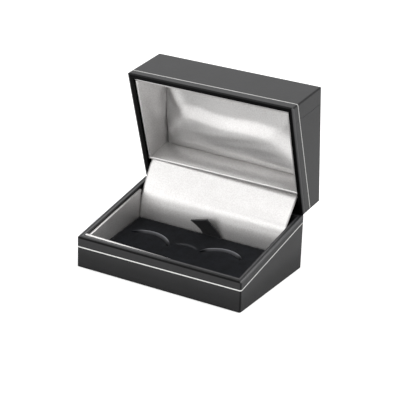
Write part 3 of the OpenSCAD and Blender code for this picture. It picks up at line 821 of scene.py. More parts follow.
# --------------------------------------------------------------------------------------------------
# The box


@dataclass(frozen=True)
class Sizes:
    """Sizes of the box around its hinge and the thickness of its satin, in millimetres and degrees."""

    rear: float = 26.85
    pivot_y: float = 26.45
    pivot_z: float = 25.0
    open_angle: float = 84.4
    satin: float = 0.35

    def opened(self, points: np.ndarray) -> np.ndarray:
        """Turns points of the shut lid to where they stand when it is open.

        Args:
            points: an array whose last axis is x, y and z.

        Returns:
            The turned points.
        """
        a = math.radians(self.open_angle)
        out = np.array(points, float)
        y, z = out[..., 1] - self.pivot_y, out[..., 2] - self.pivot_z
        out[..., 1] = self.pivot_y + y * math.cos(a) + z * math.sin(a)
        out[..., 2] = self.pivot_z - y * math.sin(a) + z * math.cos(a)
        return out


@dataclass
class Shells:
    """Covered shells of base and lid, with their foil lines and hidden boards."""

    wardrobe: Wardrobe
    nodes: Mapping[str, Object]

    def dress_all(self) -> None:
        """Gives every rigid node of the shells its finish."""
        w = self.wardrobe
        finishes = {
            "base_covering": w.base_leather, "lid_covering": w.lid_leather,
            "lid_side_coverings": w.lid_leather, "base_foil_line": w.foil, "lid_foil_line": w.shaded_lid_foil,
            "base_shell": w.shell, "lid_shell": w.shell, "lid_cushion_card": w.card,
            "pad_card": w.card, "base_underside_sheet": w.paper,
        }
        for name, material in finishes.items():
            dress(self.nodes[name], material)
            LOG.info("dressed %s in %s", name, material.name)


@dataclass
class WrappedCard:
    """A liner card wrapped in satin, whose edges are rounded by the cloth."""

    node: str
    body: Body
    edge: float = 0.42
    steps: int = 3
    # Padding under the cloth: how high it would stand and within what distance of an edge it rises,
    # and the way that the padded face looks
    crown: float = 0.0
    rise: float = 6.0
    inward: tuple[float, float, float] = (1.0, 0.0, 0.0)
    crown_cuts: tuple[int, int] = (30, 16)
    # Bend of the card towards the rear over a height, which the cloth pulls, and how much lower
    # the points over a height stand
    bend: float = 0.0
    bend_from: float = 11.0
    trim: float = 0.0
    trim_from: float = 3.0
    # Places of the most painted shade and the most painted light on the cloth, with their tones
    tone: tuple[tuple[float, float, float], tuple[float, float, float], float, float] | None = None

    def pad_face(self, shape: bmesh.types.BMesh) -> None:
        """Crowns the face that looks inward.

        Args:
            shape: the card, whose faces are plain.
        """
        way = Vector(self.inward)
        face = max(shape.faces, key=lambda f: f.calc_area() * (f.normal.dot(way) > 0.6))
        normal, centre = face.normal.copy(), face.calc_center_median()
        edges = [
            (e.verts[0].co.copy(), e.verts[1].co.copy()) for e in face.edges if e.calc_length() > 2 * MM
        ]
        long = max(edges, key=lambda e: (e[1] - e[0]).length)
        along = (long[1] - long[0]).normalized()
        cuts = []
        for axis, count in ((along, self.crown_cuts[0]), (normal.cross(along), self.crown_cuts[1])):
            ends = [(v.co - centre).dot(axis) for v in face.verts]
            cuts += [(axis, min(ends) + (max(ends) - min(ends)) * k / count) for k in range(1, count)]
        for axis, at in cuts:
            bmesh.ops.bisect_plane(
                shape, geom=shape.verts[:] + shape.edges[:] + shape.faces[:],
                plane_co=centre + axis * at, plane_no=axis,
            )
        for v in shape.verts:
            if abs((v.co - centre).dot(normal)) < 0.02 * MM:
                share = 1.0
                for a, b in edges:
                    side, off = (b - a).normalized(), v.co - a
                    share *= 1 - math.exp(-(off - side * off.dot(side)).length / (self.rise * MM))
                v.co += normal * self.crown * MM * share

    def bend_card(self, shape: bmesh.types.BMesh) -> None:
        """Bends the card's upper part towards the rear.

        Args:
            shape: the card with its rounded edges.
        """
        top = max(v.co.z for v in shape.verts)
        cuts = 10
        for k in range(cuts):
            at = Vector((0, 0, self.bend_from * MM + (top - self.bend_from * MM) * k / cuts))
            bmesh.ops.bisect_plane(
                shape, geom=shape.verts[:] + shape.edges[:] + shape.faces[:], plane_co=at, plane_no=(0, 0, 1)
            )
        for v in shape.verts:
            v.co.y += self.bend * max(0.0, v.co.z / MM - self.bend_from) ** 2 * MM

    def build(self, nodes: Mapping[str, Object], material: Material) -> Object:
        """Makes the card from the node that it stands for.

        Args:
            nodes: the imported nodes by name.
            material: the satin.

        Returns:
            The finished card.
        """
        shape = bmesh.new()
        shape.from_mesh(nodes[self.node].data)
        bmesh.ops.remove_doubles(shape, verts=shape.verts, dist=1e-7)
        bmesh.ops.dissolve_limit(shape, angle_limit=math.radians(1), verts=shape.verts, edges=shape.edges)
        bmesh.ops.bevel(
            shape, geom=list(shape.edges), offset=self.edge * MM, offset_type="OFFSET",
            segments=self.steps, profile=0.5, affect="EDGES", clamp_overlap=True,
        )
        for v in shape.verts:
            if self.trim and v.co.z > self.trim_from * MM:
                v.co.z -= self.trim * MM
        if self.crown:
            self.pad_face(shape)
        if self.bend:
            self.bend_card(shape)
        mesh = bpy.data.meshes.new(f"{self.node}_wrapped")
        shape.to_mesh(mesh)
        shape.free()
        piece = add_object(f"{self.node}_wrapped", mesh)
        crease_by_angle(piece, 40)
        dress(piece, material)
        if self.tone:
            paint_light_and_shade(piece, *self.tone)
        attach(piece, self.body.value)
        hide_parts(self.node)
        LOG.info("built %s", piece.name)
        return piece


@dataclass
class LidCushion:
    """Stuffed satin cushion in the roof of the lid, with the folds that its tension pulls.

    It is drawn in the shut lid, whose y runs from front to rear, and looks up from its card.
    """

    sizes: Sizes
    half_width: float = 33.5
    front: float = -19.7
    rear: float = 13.3
    back: float = 37.0
    edge: float = 1.3
    crown: float = 4.1
    columns: int = 170
    rows: int = 100
    # Front side of the full part, past which the cloth falls towards the front wall
    full_front: tuple[tuple[float, float], ...] = (
        (-40.0, -2.4), (-23.6, -2.4), (-19.5, -2.4), (-15.0, -1.9), (-10.0, -1.0), (-4.0, -0.5), (1.0, -0.6),
        (7.0, -1.0), (14.0, -1.1), (19.0, -0.9), (40.0, -0.9),
    )
    # Ridges that the tension pulls from the full part to both front corners
    left_ridge: tuple[tuple[float, float], ...] = (
        (-23.7, -3.0), (-25.8, -5.1), (-27.8, -7.8), (-30.0, -12.0), (-31.8, -17.3),
    )
    left_side: tuple[tuple[float, float], ...] = ((-24.2, -1.8), (-27.0, 1.4), (-31.6, 6.6))
    right_ridge: tuple[tuple[float, float], ...] = (
        (19.8, -3.0), (22.8, -5.8), (26.2, -9.2), (29.3, -12.0), (32.2, -15.7),
    )
    # Hips where the full part ends at the sides: a point, the way that its height grows from there,
    # and how steeply; and how softly they meet
    hips: tuple[tuple[tuple[float, float], tuple[float, float], float], ...] = (
        ((-23.6, -2.4), (0.75, 0.661), 1.0), ((19.0, -0.9), (-0.515, 0.857), 0.8),
    )
    hip_soft: float = 1.6
    # How wide the slope in front of the full part is, how softly it starts and ends, and how deep
    fall_width: float = 5.6
    fall_soft: float = 1.3
    fall_share: float = 0.5

    def rounding(self, distance: np.ndarray, radius: np.ndarray | float) -> np.ndarray:
        """Returns a rounded rise from 0 at an edge to 1 at the radius."""
        t = 1 - np.clip(distance / radius, 0, 1)
        return np.sqrt(np.clip(1 - t ** 2, 0, 1))

    def fullness(self, x: np.ndarray, y: np.ndarray) -> np.ndarray:
        """Distance inside the full part, whose front and sides meet in hips.

        Args:
            x: places from side to side.
            y: places from front to rear of the shut lid.

        Returns:
            Distances in millimetres, negative where the cloth falls away.
        """
        line = np.asarray(smooth_path(self.full_front))
        out = y - np.interp(x, line[:, 0], line[:, 1])
        for (x0, y0), (dx, dy), steep in self.hips:
            side = steep * (dx * (x - x0) + dy * (y - y0))
            out = (out + side - np.hypot(out - side, self.hip_soft)) / 2
        return out

    def height(self, x: np.ndarray, y: np.ndarray) -> np.ndarray:
        """Height of the cushion's face over its card.

        Args:
            x: places from side to side.
            y: places from front to rear of the shut lid.

        Returns:
            Heights in millimetres.
        """
        # The edges are rounded most at the rear left corner, and on the right a little before the middle
        left_round = 0.9 + 5.0 * smoothstep(2, 13, y)
        right_round = 3.4 + 2.0 * np.exp(-((y + 8) / 7) ** 2)
        rear_round = 3.4 + 3 * np.exp(-((x + 34) / 16) ** 2)
        full = (
            self.rounding(x + self.half_width, left_round)
            * self.rounding(self.half_width - x, right_round)
            * self.rounding(y - self.front, 3.0) * self.rounding(self.rear - y, rear_round)
        )
        signed = self.fullness(x, y)
        fall = np.hypot(signed, self.fall_soft) - np.hypot(signed + self.fall_width, self.fall_soft)
        fall = (fall + self.fall_width) / 2
        drop = self.fall_share * fall + 0.06 * np.clip(-signed - 5, 0, 20)
        # Behind the slope the cloth sinks towards the rear, and more so on the left
        out = self.crown - drop - 0.013 * np.clip(signed - 2, 0, 20) ** 2
        out = out - 0.0035 * np.clip(-x - 6, 0, 30) ** 2 * smoothstep(-1, 9, y)
        # How tall each ridge is, and how wide on its left and on its right
        for path, tall, left, right in (
            (self.left_ridge, 1.7, 5.0, 2.0), (self.right_ridge, 0.9, 3.0, 4.5),
        ):
            away, share = distance_to_path(x, y, smooth_path(path))
            out = out + tall * np.exp(-(away / np.where(away > 0, left, right)) ** 2) * share
        # Slack that the stuffing leaves runs along the full part in shallow waves
        where = np.exp(-((signed - 4) / 4) ** 2) * np.exp(-(x / 26) ** 4)
        out = out + 0.05 * np.sin(0.16 * x + 1.1 * y) * where
        return self.edge + full * out

    def tone(self, x: np.ndarray, y: np.ndarray) -> np.ndarray:
        """Painted light and shade on the cloth: shade painted at the rear left, and highlights painted along
        the folds.

        Args:
            x: places from side to side.
            y: places from front to rear of the shut lid.

        Returns:
            Tones for set_tone.
        """
        # Painted shade, darkest at the rear left
        painted_shade = (-33.0, 9.4)
        way = np.array([33.0, -14.1])
        share = ((x - painted_shade[0]) * way[0] + (y - painted_shade[1]) * way[1]) / (way @ way)
        out = -0.42 * (1 - np.clip(share, 0, 1))
        # How much highlight is painted on each fold, how far beside its line it is brightest, and how wide
        # it is
        for path, painted_light, beside, width in (
            (self.left_ridge, 0.5, 1.9, 2.6), (self.left_side, 0.42, 0.3, 2.3),
            (self.right_ridge, 0.12, 0.0, 2.6),
        ):
            away, share = distance_to_path(x, y, smooth_path(path))
            out = out + painted_light * smoothstep(-0.1, 0.5, share) * np.exp(-(((away - beside) / width) ** 2))
        return out

    def build(self, material: Material) -> Object:
        """Makes the cushion.

        Args:
            material: the satin.

        Returns:
            The finished cushion.
        """
        # Rows and columns crowd together towards the edges, where the cloth is rounded
        quarter = np.pi / 2
        uu, vv = np.meshgrid(*(
            np.sin(np.linspace(-quarter, quarter, count) * 0.98) / math.sin(quarter * 0.98)
            for count in (self.columns, self.rows)
        ))
        mid, half = (self.front + self.rear) / 2, (self.rear - self.front) / 2
        x, y = uu * self.half_width, mid + vv * half
        high = self.height(x, y)
        # The sides bulge with the liners, which lean away from the card
        x = x + np.sign(uu) * 0.22 * high * smoothstep(0.93, 1.0, np.abs(uu))
        y = y + 0.24 * high * smoothstep(0.86, 1.0, vv)
        face = np.stack([x, y, self.back - high], axis=2)
        rear = np.stack([x, y, np.full_like(x, self.back)], axis=2)
        piece = closed_pair("lid_cushion_satin", self.sizes.opened(rear), self.sizes.opened(face))
        dress(piece, material)
        # Painted light and shade on the cushion
        set_tone(piece, np.tile(self.tone(x, y).ravel(), 2))
        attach(piece, Body.LID.value)
        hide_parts("lid_cushion")
        LOG.info("built %s", piece.name)
        return piece


@dataclass
class Flap:
    """Loose satin from behind the pad up to the lid, which hides the hinge."""

    sizes: Sizes
    half_width: float = 36.1
    columns: int = 90
    rows: int = 80
    # Route from behind the pad to the lid as y and z: the start, and how the left and the right edge go on
    start: tuple[tuple[float, float], ...] = (
        (16.65, 5.0), (16.65, 10.9), (16.82, 14.0), (17.32, 17.0), (18.29, 20.4),
    )
    left: tuple[tuple[float, float], ...] = ((20.0, 24.0), (21.9, 27.4), (23.9, 30.8), (25.9, 33.9))
    right: tuple[tuple[float, float], ...] = ((20.45, 23.6), (22.95, 26.6), (25.5, 29.6), (28.0, 32.5))

    def route(self, points: Sequence[tuple[float, float]]) -> np.ndarray:
        """Spaces points evenly along one edge's route.

        Args:
            points: y and z of the points that it goes through after the start.

        Returns:
            Its rows by 2 array of y and z.
        """
        dense = np.asarray(smooth_path([*self.start, *points], 12))
        run = np.concatenate([[0], np.cumsum(np.linalg.norm(np.diff(dense, axis=0), axis=1))])
        at = np.linspace(0, run[-1], self.rows)
        return np.stack([np.interp(at, run, dense[:, 0]), np.interp(at, run, dense[:, 1])], axis=1)

    def build(self, material: Material) -> Object:
        """Makes the flap.

        Args:
            material: the satin.

        Returns:
            The finished flap.
        """
        left, right = self.route(self.left), self.route(self.right)
        share = np.linspace(0, 1, self.columns)[None, :, None]
        grid = swept(left, np.linspace(-self.half_width, self.half_width, self.columns))
        grid[:, :, 1:] = left[:, None] * (1 - share) + right[:, None] * share
        piece = sheet("satin_flap_cloth", grid, self.sizes.satin)
        dress(piece, material)
        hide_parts("satin_flap")
        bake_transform(piece)
        return piece


@dataclass
class Hinge:
    """Sprung steel hinge, its rivets, and the leatherette strip over its outside."""

    sizes: Sizes
    wardrobe: Wardrobe
    strip_half: float = 39.1
    strip_t: float = 0.4
    # Radius of the strip's bend about the pin, and where it starts and ends on the shut walls
    strip_roll: float = 1.45
    strip_low: tuple[float, float] = (18.1, 23.4)
    strip_high: tuple[float, float] = (26.6, 31.9)
    spring_x: float = 21.0
    spring_w: float = 7.0
    spring_t: float = 0.35
    bar_r: float = 0.5
    bar_reach: float = 1.0
    base_bar: tuple[float, float] = (23.8, 15.22)
    lid_bar: tuple[float, float] = (35.13, 28.51)
    # Point of the springs' arc that lies clear of the knuckles
    past_pin: tuple[float, float] = (26.329, 27.472)

    def dress_steel(self, nodes: Mapping[str, Object]) -> None:
        """Gives the rigid steel nodes their finish.

        Args:
            nodes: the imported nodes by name.
        """
        for name in ("base_hinge_leaf", "lid_hinge_leaf", "base_hinge_rivets", "lid_hinge_rivets",
                     "hinge_pin"):
            dress(nodes[name], self.wardrobe.steel)
            LOG.info("dressed %s", name)

    def build_strip(self) -> Object:
        """Makes the leatherette strip that bends round the hinge's outside.

        Returns:
            The finished strip.
        """
        s, roll = self.sizes, self.strip_roll
        gap = s.rear + self.strip_t / 2
        reach = math.acos((gap - s.pivot_y) / roll)
        turn = np.linspace(-reach, reach - math.radians(s.open_angle), 25)
        route = [(gap, z) for z in np.linspace(*self.strip_low, 8)]
        route += [(s.pivot_y + roll * math.cos(a), s.pivot_z + roll * math.sin(a)) for a in turn]
        upper = np.array([[0.0, gap, z] for z in np.linspace(*self.strip_high, 8)])
        route += [(p[1], p[2]) for p in s.opened(upper)]
        grid = swept(np.asarray(route), np.linspace(-self.strip_half, self.strip_half, 60))
        piece = sheet("hinge_strip_leatherette", grid, self.strip_t)
        dress(piece, self.wardrobe.base_leather)
        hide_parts("hinge_strip")
        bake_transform(piece)
        LOG.info("built %s", piece.name)
        return piece

    def spring_line(self, a: np.ndarray, b: np.ndarray) -> np.ndarray:
        """Draws the arc of the bowed springs in the side view.

        Args:
            a: y and z of the bar in the base.
            b: y and z of the bar in the lid.

        Returns:
            Points of y and z from bar to bar, along the arc through past_pin.
        """
        half = float(np.linalg.norm(b - a)) / 2
        along = (b - a) / (2 * half)
        out = np.array([-along[1], along[0]])
        past = np.asarray(self.past_pin) - (a + b) / 2
        reach, bow = float(past @ along), float(past @ out)
        shift = (reach ** 2 + bow ** 2 - half ** 2) / (2 * bow)
        r = math.hypot(half, shift)
        middle = (a + b) / 2 + out * shift
        start = math.atan2(*(a - middle)[::-1])
        end = math.atan2(*(b - middle)[::-1])
        while end > start:
            end -= 2 * math.pi
        angles = np.linspace(start, end, 40)
        return middle + r * np.stack([np.cos(angles), np.sin(angles)], axis=1)

    def build_springs(self) -> Object:
        """Makes the two bowed springs with their cross bars.

        Returns:
            The finished pair of springs.
        """
        a, b = np.asarray(self.base_bar), np.asarray(self.lid_bar)
        line = self.spring_line(a, b)
        points: list[np.ndarray] = []
        faces: list[tuple[int, ...]] = []
        for side in (-1, 1):
            middle = side * self.spring_x
            x = np.linspace(-self.spring_w / 2, self.spring_w / 2, 7) + middle
            self._take(sheet("spring", swept(line, x), self.spring_t), points, faces)
            for bar in (a, b):
                self._take(self._rod(middle, bar), points, faces)
        piece = to_object("snap_springs_bent", np.concatenate(points), faces)
        dress(piece, self.wardrobe.steel)
        crease_by_angle(piece, 35)
        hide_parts("snap_springs")
        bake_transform(piece)
        LOG.info("built %s", piece.name)
        return piece

    def _rod(self, x: float, centre: np.ndarray) -> Object:
        """Makes one cross bar.

        Args:
            x: where its middle is from side to side.
            centre: y and z of its axis.

        Returns:
            The bar, which goes once it is taken.
        """
        half = self.spring_w / 2 + self.bar_reach
        turns = 16
        ring = [(math.cos(2 * math.pi * k / turns), math.sin(2 * math.pi * k / turns)) for k in range(turns)]
        points = [(x + s * half, centre[0] + self.bar_r * c, centre[1] + self.bar_r * q)
                  for s in (-1, 1) for c, q in ring]
        faces: list[tuple[int, ...]] = [tuple(range(turns))[::-1], tuple(range(turns, 2 * turns))]
        faces += [(k, (k + 1) % turns, turns + (k + 1) % turns, turns + k) for k in range(turns)]
        return to_object("bar", np.asarray(points), faces)

    @staticmethod
    def _take(part: Object, points: list[np.ndarray], faces: list[tuple[int, ...]]) -> None:
        """Moves a part's mesh into lists that become one piece.

        Args:
            part: the part, which goes.
            points: gets its points, in millimetres.
            faces: gets its faces, counted on from the points before.
        """
        base = sum(len(p) for p in points)
        points.append(np.array([v.co for v in part.data.vertices]) / MM)
        faces.extend(tuple(base + v for v in polygon.vertices) for polygon in part.data.polygons)
        bpy.data.objects.remove(part)


@dataclass(frozen=True)
class Slit:
    """Curved slit of the pad, an arc in the pad's own plane."""

    x: float
    y: float
    radius: float
    # Direction of the arc's middle and its span, in degrees
    middle: float
    span: float

    def around(self, x: np.ndarray, y: np.ndarray) -> tuple[np.ndarray, np.ndarray]:
        """Returns distances outside the arc, and degrees left to its nearer end."""
        angle = np.degrees(np.arctan2(y - self.y, x - self.x)) - self.middle
        return np.hypot(x - self.x, y - self.y) - self.radius, self.span / 2 - np.abs(angle)


@dataclass
class Pad:
    """Velvet pad with two raised slits and a finger dish, and its lifting ribbon."""

    wardrobe: Wardrobe
    half_width: float = 36.1
    front: float = -22.95
    rear: float = 15.9
    front_top: float = 6.1
    rear_top: float = 9.8
    # How far the velvet falls at its edge and how wide the fall is, and how low it is turned down
    edge_fall: float = 0.9
    edge_round: float = 1.6
    turned_to: float = 3.0
    slits: tuple[Slit, ...] = (Slit(-21.6, 13.9, 13.6, 81.0, 100.0), Slit(14.9, 17.6, 11.4, 97.0, 110.0))
    slit_w: float = 0.9
    slit_depth: float = 2.0
    lip: float = 0.32
    dish: tuple[float, float] = (-2.6, 17.2)
    dish_r: float = 8.5
    dish_depth: float = 0.2
    # Ribbon: the middle of its foot, its lowest point, the pad's top there and its rise over it
    ribbon_at: tuple[float, float] = (1.6, 15.4)
    ribbon_low: float = 2.8
    ribbon_foot: float = 9.8
    ribbon_rise: float = 7.2
    ribbon_half: float = 4.5
    ribbon_t: float = 0.7
    # How far its top leans to the left and to the front, and is twisted up on the right
    ribbon_lean: tuple[float, float, float] = (4.7, 3.4, 1.0)

    @property
    def tilt(self) -> float:
        """Slope of the pad in radians."""
        return math.atan((self.rear_top - self.front_top) / (self.rear - self.front))

    @property
    def length(self) -> float:
        """Length of the sloping top."""
        return (self.rear - self.front) / math.cos(self.tilt)

    def placed(self, points: np.ndarray) -> np.ndarray:
        """Puts points of the pad's own plane on its slope.

        Args:
            points: x, distance from the front edge, and height over the top.

        Returns:
            The points in the box.
        """
        c, s = math.cos(self.tilt), math.sin(self.tilt)
        out = np.array(points, float)
        y, z = out[..., 1].copy(), out[..., 2].copy()
        out[..., 1] = self.front + y * c - z * s
        out[..., 2] = self.front_top + y * s + z * c
        return out

    def relief(self, x: np.ndarray, y: np.ndarray) -> np.ndarray:
        """Height of the velvet over the plain slope.

        Args:
            x: places from side to side.
            y: distances from the front edge.

        Returns:
            Heights in millimetres, negative inside a slit.
        """
        edge = np.minimum(self.half_width - np.abs(x), np.minimum(y, self.length - y))
        out = -self.edge_fall * (1 - smoothstep(0, self.edge_round, edge)) ** 2
        # The finger dish has a soft rim behind
        d = np.hypot(x - self.dish[0], y - self.dish[1])
        out = out - self.dish_depth * (1 - smoothstep(0.3 * self.dish_r, self.dish_r, d))
        behind = smoothstep(0.5, 0.95, (y - self.dish[1]) / self.dish_r)
        out = out + 0.1 * behind * np.exp(-((d - self.dish_r) / 0.8) ** 2)
        # Each slit has a raised lip behind, with a slope, and a hollow before it
        for slit in self.slits:
            off, left = slit.around(x, y)
            ends = smoothstep(0, 12, left)
            lip = np.where(off > 0, np.exp(-((off - 0.62) / 0.3) ** 2), 0)
            slope = np.where(off > 0, np.exp(-(off / 3.2) ** 2), 0)
            cut = smoothstep(0.5 * self.slit_w + 0.1, 0.5 * self.slit_w - 0.12, np.abs(off))
            front = np.where(off <= 0, np.exp(-(off / 2.2) ** 2), 0)
            out = out + ends * (self.lip * lip + 0.25 * slope - 0.28 * front)
            open_to = self.slit_depth * ends ** 0.4
            out = np.where((ends > 0) & (cut > 0), out * (1 - cut) - cut * open_to, out)
        return out

    def painted_sheen(self, x: np.ndarray, y: np.ndarray) -> np.ndarray:
        """Share of painted sheen at the rear lip of each slit and at the rim of the dish.

        Args:
            x: places from side to side.
            y: distances from the front edge.

        Returns:
            Shares, of which those over 1 count as 1.
        """
        out = np.zeros_like(x)
        for slit in self.slits:
            off, left = slit.around(x, y)
            ends = smoothstep(0, 26, left)
            out = np.maximum(out, 1.3 * ends * np.exp(-((off - 0.7) / (0.12 + 0.12 * ends)) ** 2))
        d = np.hypot(x - self.dish[0], y - self.dish[1])
        behind = smoothstep(0.72, 0.97, (y - self.dish[1]) / self.dish_r)
        return np.maximum(out, 0.22 * behind * np.exp(-((d - self.dish_r) / 0.5) ** 2))

    def plan_points(self) -> np.ndarray:
        """Spreads points over the pad's plan, finest along the slits and the edges.

        Returns:
            An n by 2 array of x and the distance from the front edge.
        """
        points = []
        for gx in np.linspace(-self.half_width, self.half_width, 92):
            for gy in np.linspace(0, self.length, 52):
                near = [s for s in self.slits if abs(s.around(gx, gy)[0]) < 1.9 and gy > s.y - 1]
                if not near:
                    points.append((gx, gy))
        for slit in self.slits:
            for off in (-1.7, -1.2, -0.8, -0.57, -0.45, -0.33, 0.0, 0.33, 0.42, 0.5, 0.6, 0.72, 0.86, 1.05,
                        1.3, 1.55, 1.85):
                for a in np.arange(-66, 66.1, 2.0):
                    t, r = math.radians(slit.middle + a), slit.radius + off
                    points.append((slit.x + r * math.cos(t), slit.y + r * math.sin(t)))
        for edge in (0.35, 0.8, 1.3):
            for gx in np.linspace(-self.half_width + edge, self.half_width - edge, 100):
                points += [(gx, edge), (gx, self.length - edge)]
            for gy in np.linspace(edge, self.length - edge, 60):
                points += [(-self.half_width + edge, gy), (self.half_width - edge, gy)]
        return np.unique(np.round(np.asarray(points), 4), axis=0)

    def build_velvet(self) -> Object:
        """Makes the velvet skin with its slits, dish and turned-down edges.

        Returns:
            The finished velvet, which also stands for the foam under it.
        """
        plan = self.plan_points()
        verts, _, faces, *_ = geometry.delaunay_2d_cdt([Vector(p) for p in plan], [], [], 0, 1e-5)
        flat = np.array([[v.x, v.y] for v in verts])
        top = np.column_stack([flat, self.relief(flat[:, 0], flat[:, 1])])
        shape = bmesh.new()
        made = [shape.verts.new(self.placed(p) * MM) for p in top]
        for f in faces:
            shape.faces.new([made[k] for k in f])
        rim = [e for e in shape.edges if e.is_boundary]
        skirt = bmesh.ops.extrude_edge_only(shape, edges=rim)
        down = self.turned_to - self.edge_fall
        for v in skirt["geom"]:
            if isinstance(v, bmesh.types.BMVert):
                v.co += Vector((0, down * math.sin(self.tilt), -down * math.cos(self.tilt))) * MM
        bmesh.ops.recalc_face_normals(shape, faces=shape.faces)
        mesh = bpy.data.meshes.new("pad_velvet_pile")
        shape.to_mesh(mesh)
        shape.free()
        # Painted sheen at the slits' lips and the dish's rim
        amounts = np.zeros(len(mesh.vertices))
        amounts[:len(flat)] = self.painted_sheen(flat[:, 0], flat[:, 1])
        mesh.attributes.new("wear_and_sheen", "FLOAT", "POINT").data.foreach_set("value", amounts)
        mesh.polygons.foreach_set("use_smooth", [True] * len(mesh.polygons))
        piece = add_object("pad_velvet_pile", mesh)
        dress(piece, self.wardrobe.velvet)
        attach(piece, Body.INSERT.value)
        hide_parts("pad_velvet", "pad_foam")
        LOG.info("built %s with %d points", piece.name, len(mesh.vertices))
        return piece

    def build_ribbon(self) -> Object:
        """Makes the doubled lifting ribbon, which leans forward and to the left.

        Returns:
            The finished ribbon.
        """
        (x, y), foot, rise = self.ribbon_at, self.ribbon_foot, self.ribbon_rise
        left, forward, twist = self.ribbon_lean
        heights = np.concatenate(
            [np.linspace(self.ribbon_low, foot, 20)[:-1], np.linspace(foot, foot + rise, 41)]
        )[:, None]
        lean = np.clip((heights - foot) / rise, 0, 1) ** 1.3
        across = np.linspace(-1, 1, 13)[None, :]
        # The ribbon is a tenth narrower at its top, where the loop draws it in
        grid = np.stack(np.broadcast_arrays(
            x + across * self.ribbon_half * (1 - 0.1 * lean) - left * lean, y - forward * lean,
            heights + across * twist * lean,
        ), axis=2)
        piece = sheet("lifting_ribbon_loop", grid, self.ribbon_t)
        dress(piece, self.wardrobe.ribbon)
        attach(piece, Body.INSERT.value)
        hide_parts("lifting_ribbon")
        LOG.info("built %s", piece.name)
        return piece


# --------------------------------------------------------------------------------------------------
# Studio


@dataclass(frozen=True)
class Softbox:
    """Rectangular lamp that faces the box.

    Its azimuth runs in degrees to the right of the box's front, and its size is in metres.
    """

    name: str
    azimuth: float
    elevation: float
    size: tuple[float, float]
    watts: float


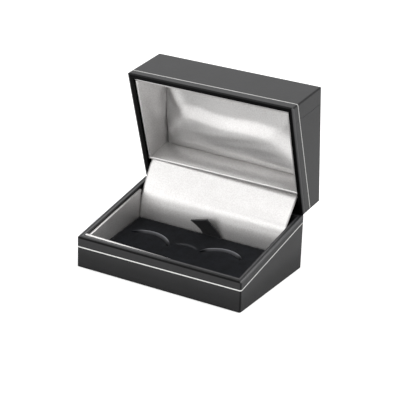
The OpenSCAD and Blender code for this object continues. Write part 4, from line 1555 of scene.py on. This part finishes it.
@dataclass
class Studio:
    """Camera, lamps, floor and background."""

    azimuth: float = 29.753
    elevation: float = 22.650
    roll: float = 2.018
    distance: float = 646.91
    focal: float = 134.17
    target: tuple[float, float, float] = (9.736, -2.85, 30.738)
    ambient: float = 0.28
    gloss: float = 0.9
    sensor: float = 36.0
    lamps: tuple[Softbox, ...] = (
        Softbox("key", -57, 52, (0.8, 0.8), 4.2), Softbox("side", -100, 68, (0.6, 0.6), 1.5),
        Softbox("fill", -36, 17, (0.8, 0.5), 2.5), Softbox("front", 6, 15, (0.7, 0.6), 2.4),
        Softbox("rear", 112, 64, (0.6, 0.6), 8.6),
    )
    lamp_distance: float = 1.2
    lamp_aim: tuple[float, float, float] = (0.0, 0.0, 0.03)
    floor_glow: float = 0.55
    floor_half: float = 1500.0

    def place_camera(self) -> None:
        """Puts the camera where the photograph was taken from."""
        az, el, roll = (math.radians(v) for v in (self.azimuth, self.elevation, self.roll))
        back = Vector((math.sin(az) * math.cos(el), -math.cos(az) * math.cos(el), math.sin(el)))
        right = Vector((math.cos(az), math.sin(az), 0))
        up = back.cross(right)
        side = right * math.cos(roll) + up * math.sin(roll)
        top = up * math.cos(roll) - right * math.sin(roll)
        data = bpy.data.cameras.new("camera")
        data.sensor_width, data.lens = self.sensor, self.focal
        data.clip_start, data.clip_end = 0.01, 20.0
        camera = add_object("camera", data)
        matrix = Matrix((side, top, back)).transposed().to_4x4()
        matrix.translation = (Vector(self.target) + back * self.distance) * MM
        camera.matrix_world = matrix
        bpy.context.scene.camera = camera

    def build_world(self) -> None:
        """Makes a plain ambient light with a white background."""
        world = bpy.data.worlds.new("studio")
        world.use_nodes = True
        bpy.context.scene.world = world
        tree = world.node_tree
        tree.nodes.clear()
        path = add_node(tree, "LightPath")
        strength: Node | float = self.ambient
        for ray, level in (("Is Camera Ray", 1.0), ("Is Glossy Ray", self.gloss)):
            strength = add_node(
                tree, "Math", {0: path.outputs[ray], 1: level - self.ambient, 2: strength},
                {"operation": "MULTIPLY_ADD"},
            )
        back = add_node(tree, "Background", {"Color": (1, 1, 1, 1), "Strength": strength})
        add_node(tree, "OutputWorld", {"Surface": back})

    def build_floor(self) -> None:
        """Makes the pale floor, which keeps a faint shadow of the box."""
        half = self.floor_half
        points = np.array([(-half, -half, 0), (half, -half, 0), (half, half, 0), (-half, half, 0)], float)
        floor = to_object("floor", points, [(0, 1, 2, 3)], smooth=False)
        material, tree = new_material("studio_floor")
        seen = add_node(tree, "LightPath").outputs["Is Camera Ray"]
        level = add_node(tree, "Math", {0: seen, 1: self.floor_glow}, {"operation": "MULTIPLY"})
        matte = add_node(tree, "BsdfDiffuse", {"Color": (0.8, 0.8, 0.8, 1)})
        glow = add_node(tree, "Emission", {"Color": (1, 1, 1, 1), "Strength": level})
        both = add_node(tree, "AddShader", {0: matte, 1: glow})
        add_node(tree, "OutputMaterial", {"Surface": both})
        floor.data.materials.append(material)

    def add_softbox(self, softbox: Softbox) -> None:
        """Adds a lamp to the scene.

        Args:
            softbox: the lamp.
        """
        data = bpy.data.lights.new(softbox.name, "AREA")
        data.shape, data.size, data.size_y = "RECTANGLE", *softbox.size
        data.energy = softbox.watts
        lamp = add_object(softbox.name, data)
        a, e = math.radians(softbox.azimuth), math.radians(softbox.elevation)
        way = Vector((math.cos(e) * math.sin(a), -math.cos(e) * math.cos(a), math.sin(e)))
        lamp.location = way * self.lamp_distance + Vector(self.lamp_aim)
        lamp.rotation_euler = (-way).to_track_quat("-Z", "Y").to_euler()

    def build(self) -> None:
        """Builds the whole studio."""
        self.place_camera()
        self.build_world()
        self.build_floor()
        for softbox in self.lamps:
            self.add_softbox(softbox)
        bpy.context.scene.view_settings.view_transform = "Standard"


# --------------------------------------------------------------------------------------------------
# Order of building


def liner_cards() -> tuple[WrappedCard, ...]:
    """Lists the satin-covered liner cards of base and lid.

    Returns:
        The cards, not yet built.
    """
    # Painted light and shade on the left liners: paler towards the front of the base and towards the lid's
    # rim
    left_tone = ((-36.4, 15.0, 15.0), (-36.4, -4.0, 15.0), -0.05, 0.4)
    lid_left_tone = ((-34.0, 33.0, 44.0), (-36.0, 15.0, 71.0), 0.0, 0.45)
    return (
        WrappedCard("base_front_liner", Body.BASE, trim=0.15),
        WrappedCard("base_left_liner", Body.BASE, tone=left_tone),
        WrappedCard("base_right_liner", Body.BASE, trim=0.4),
        WrappedCard("base_rear_liner", Body.BASE, bend=0.0185),
        WrappedCard("lid_front_liner", Body.LID),
        WrappedCard("lid_left_liner", Body.LID, crown=2.2, tone=lid_left_tone),
        WrappedCard("lid_right_liner", Body.LID, crown=1.2, inward=(-1.0, 0.0, 0.0)),
        WrappedCard("lid_rear_liner", Body.LID, crown=1.8, rise=4.0, inward=(0.0, 0.0, 1.0)),
    )


def main() -> None:
    """Builds the dressed box and its studio."""
    logging.basicConfig(level=logging.INFO, format="%(name)s: %(message)s")
    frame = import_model()
    nodes = frame["nodes"]
    sizes, wardrobe = Sizes(), Wardrobe()
    Studio().build()
    Shells(wardrobe, nodes).dress_all()
    for card in liner_cards():
        card.build(nodes, wardrobe.satin)
    LidCushion(sizes).build(wardrobe.satin)
    Flap(sizes).build(wardrobe.satin)
    hinge = Hinge(sizes, wardrobe)
    hinge.dress_steel(nodes)
    hinge.build_strip()
    hinge.build_springs()
    pad = Pad(wardrobe)
    pad.build_velvet()
    pad.build_ribbon()


if __name__ == "__main__":
    main()
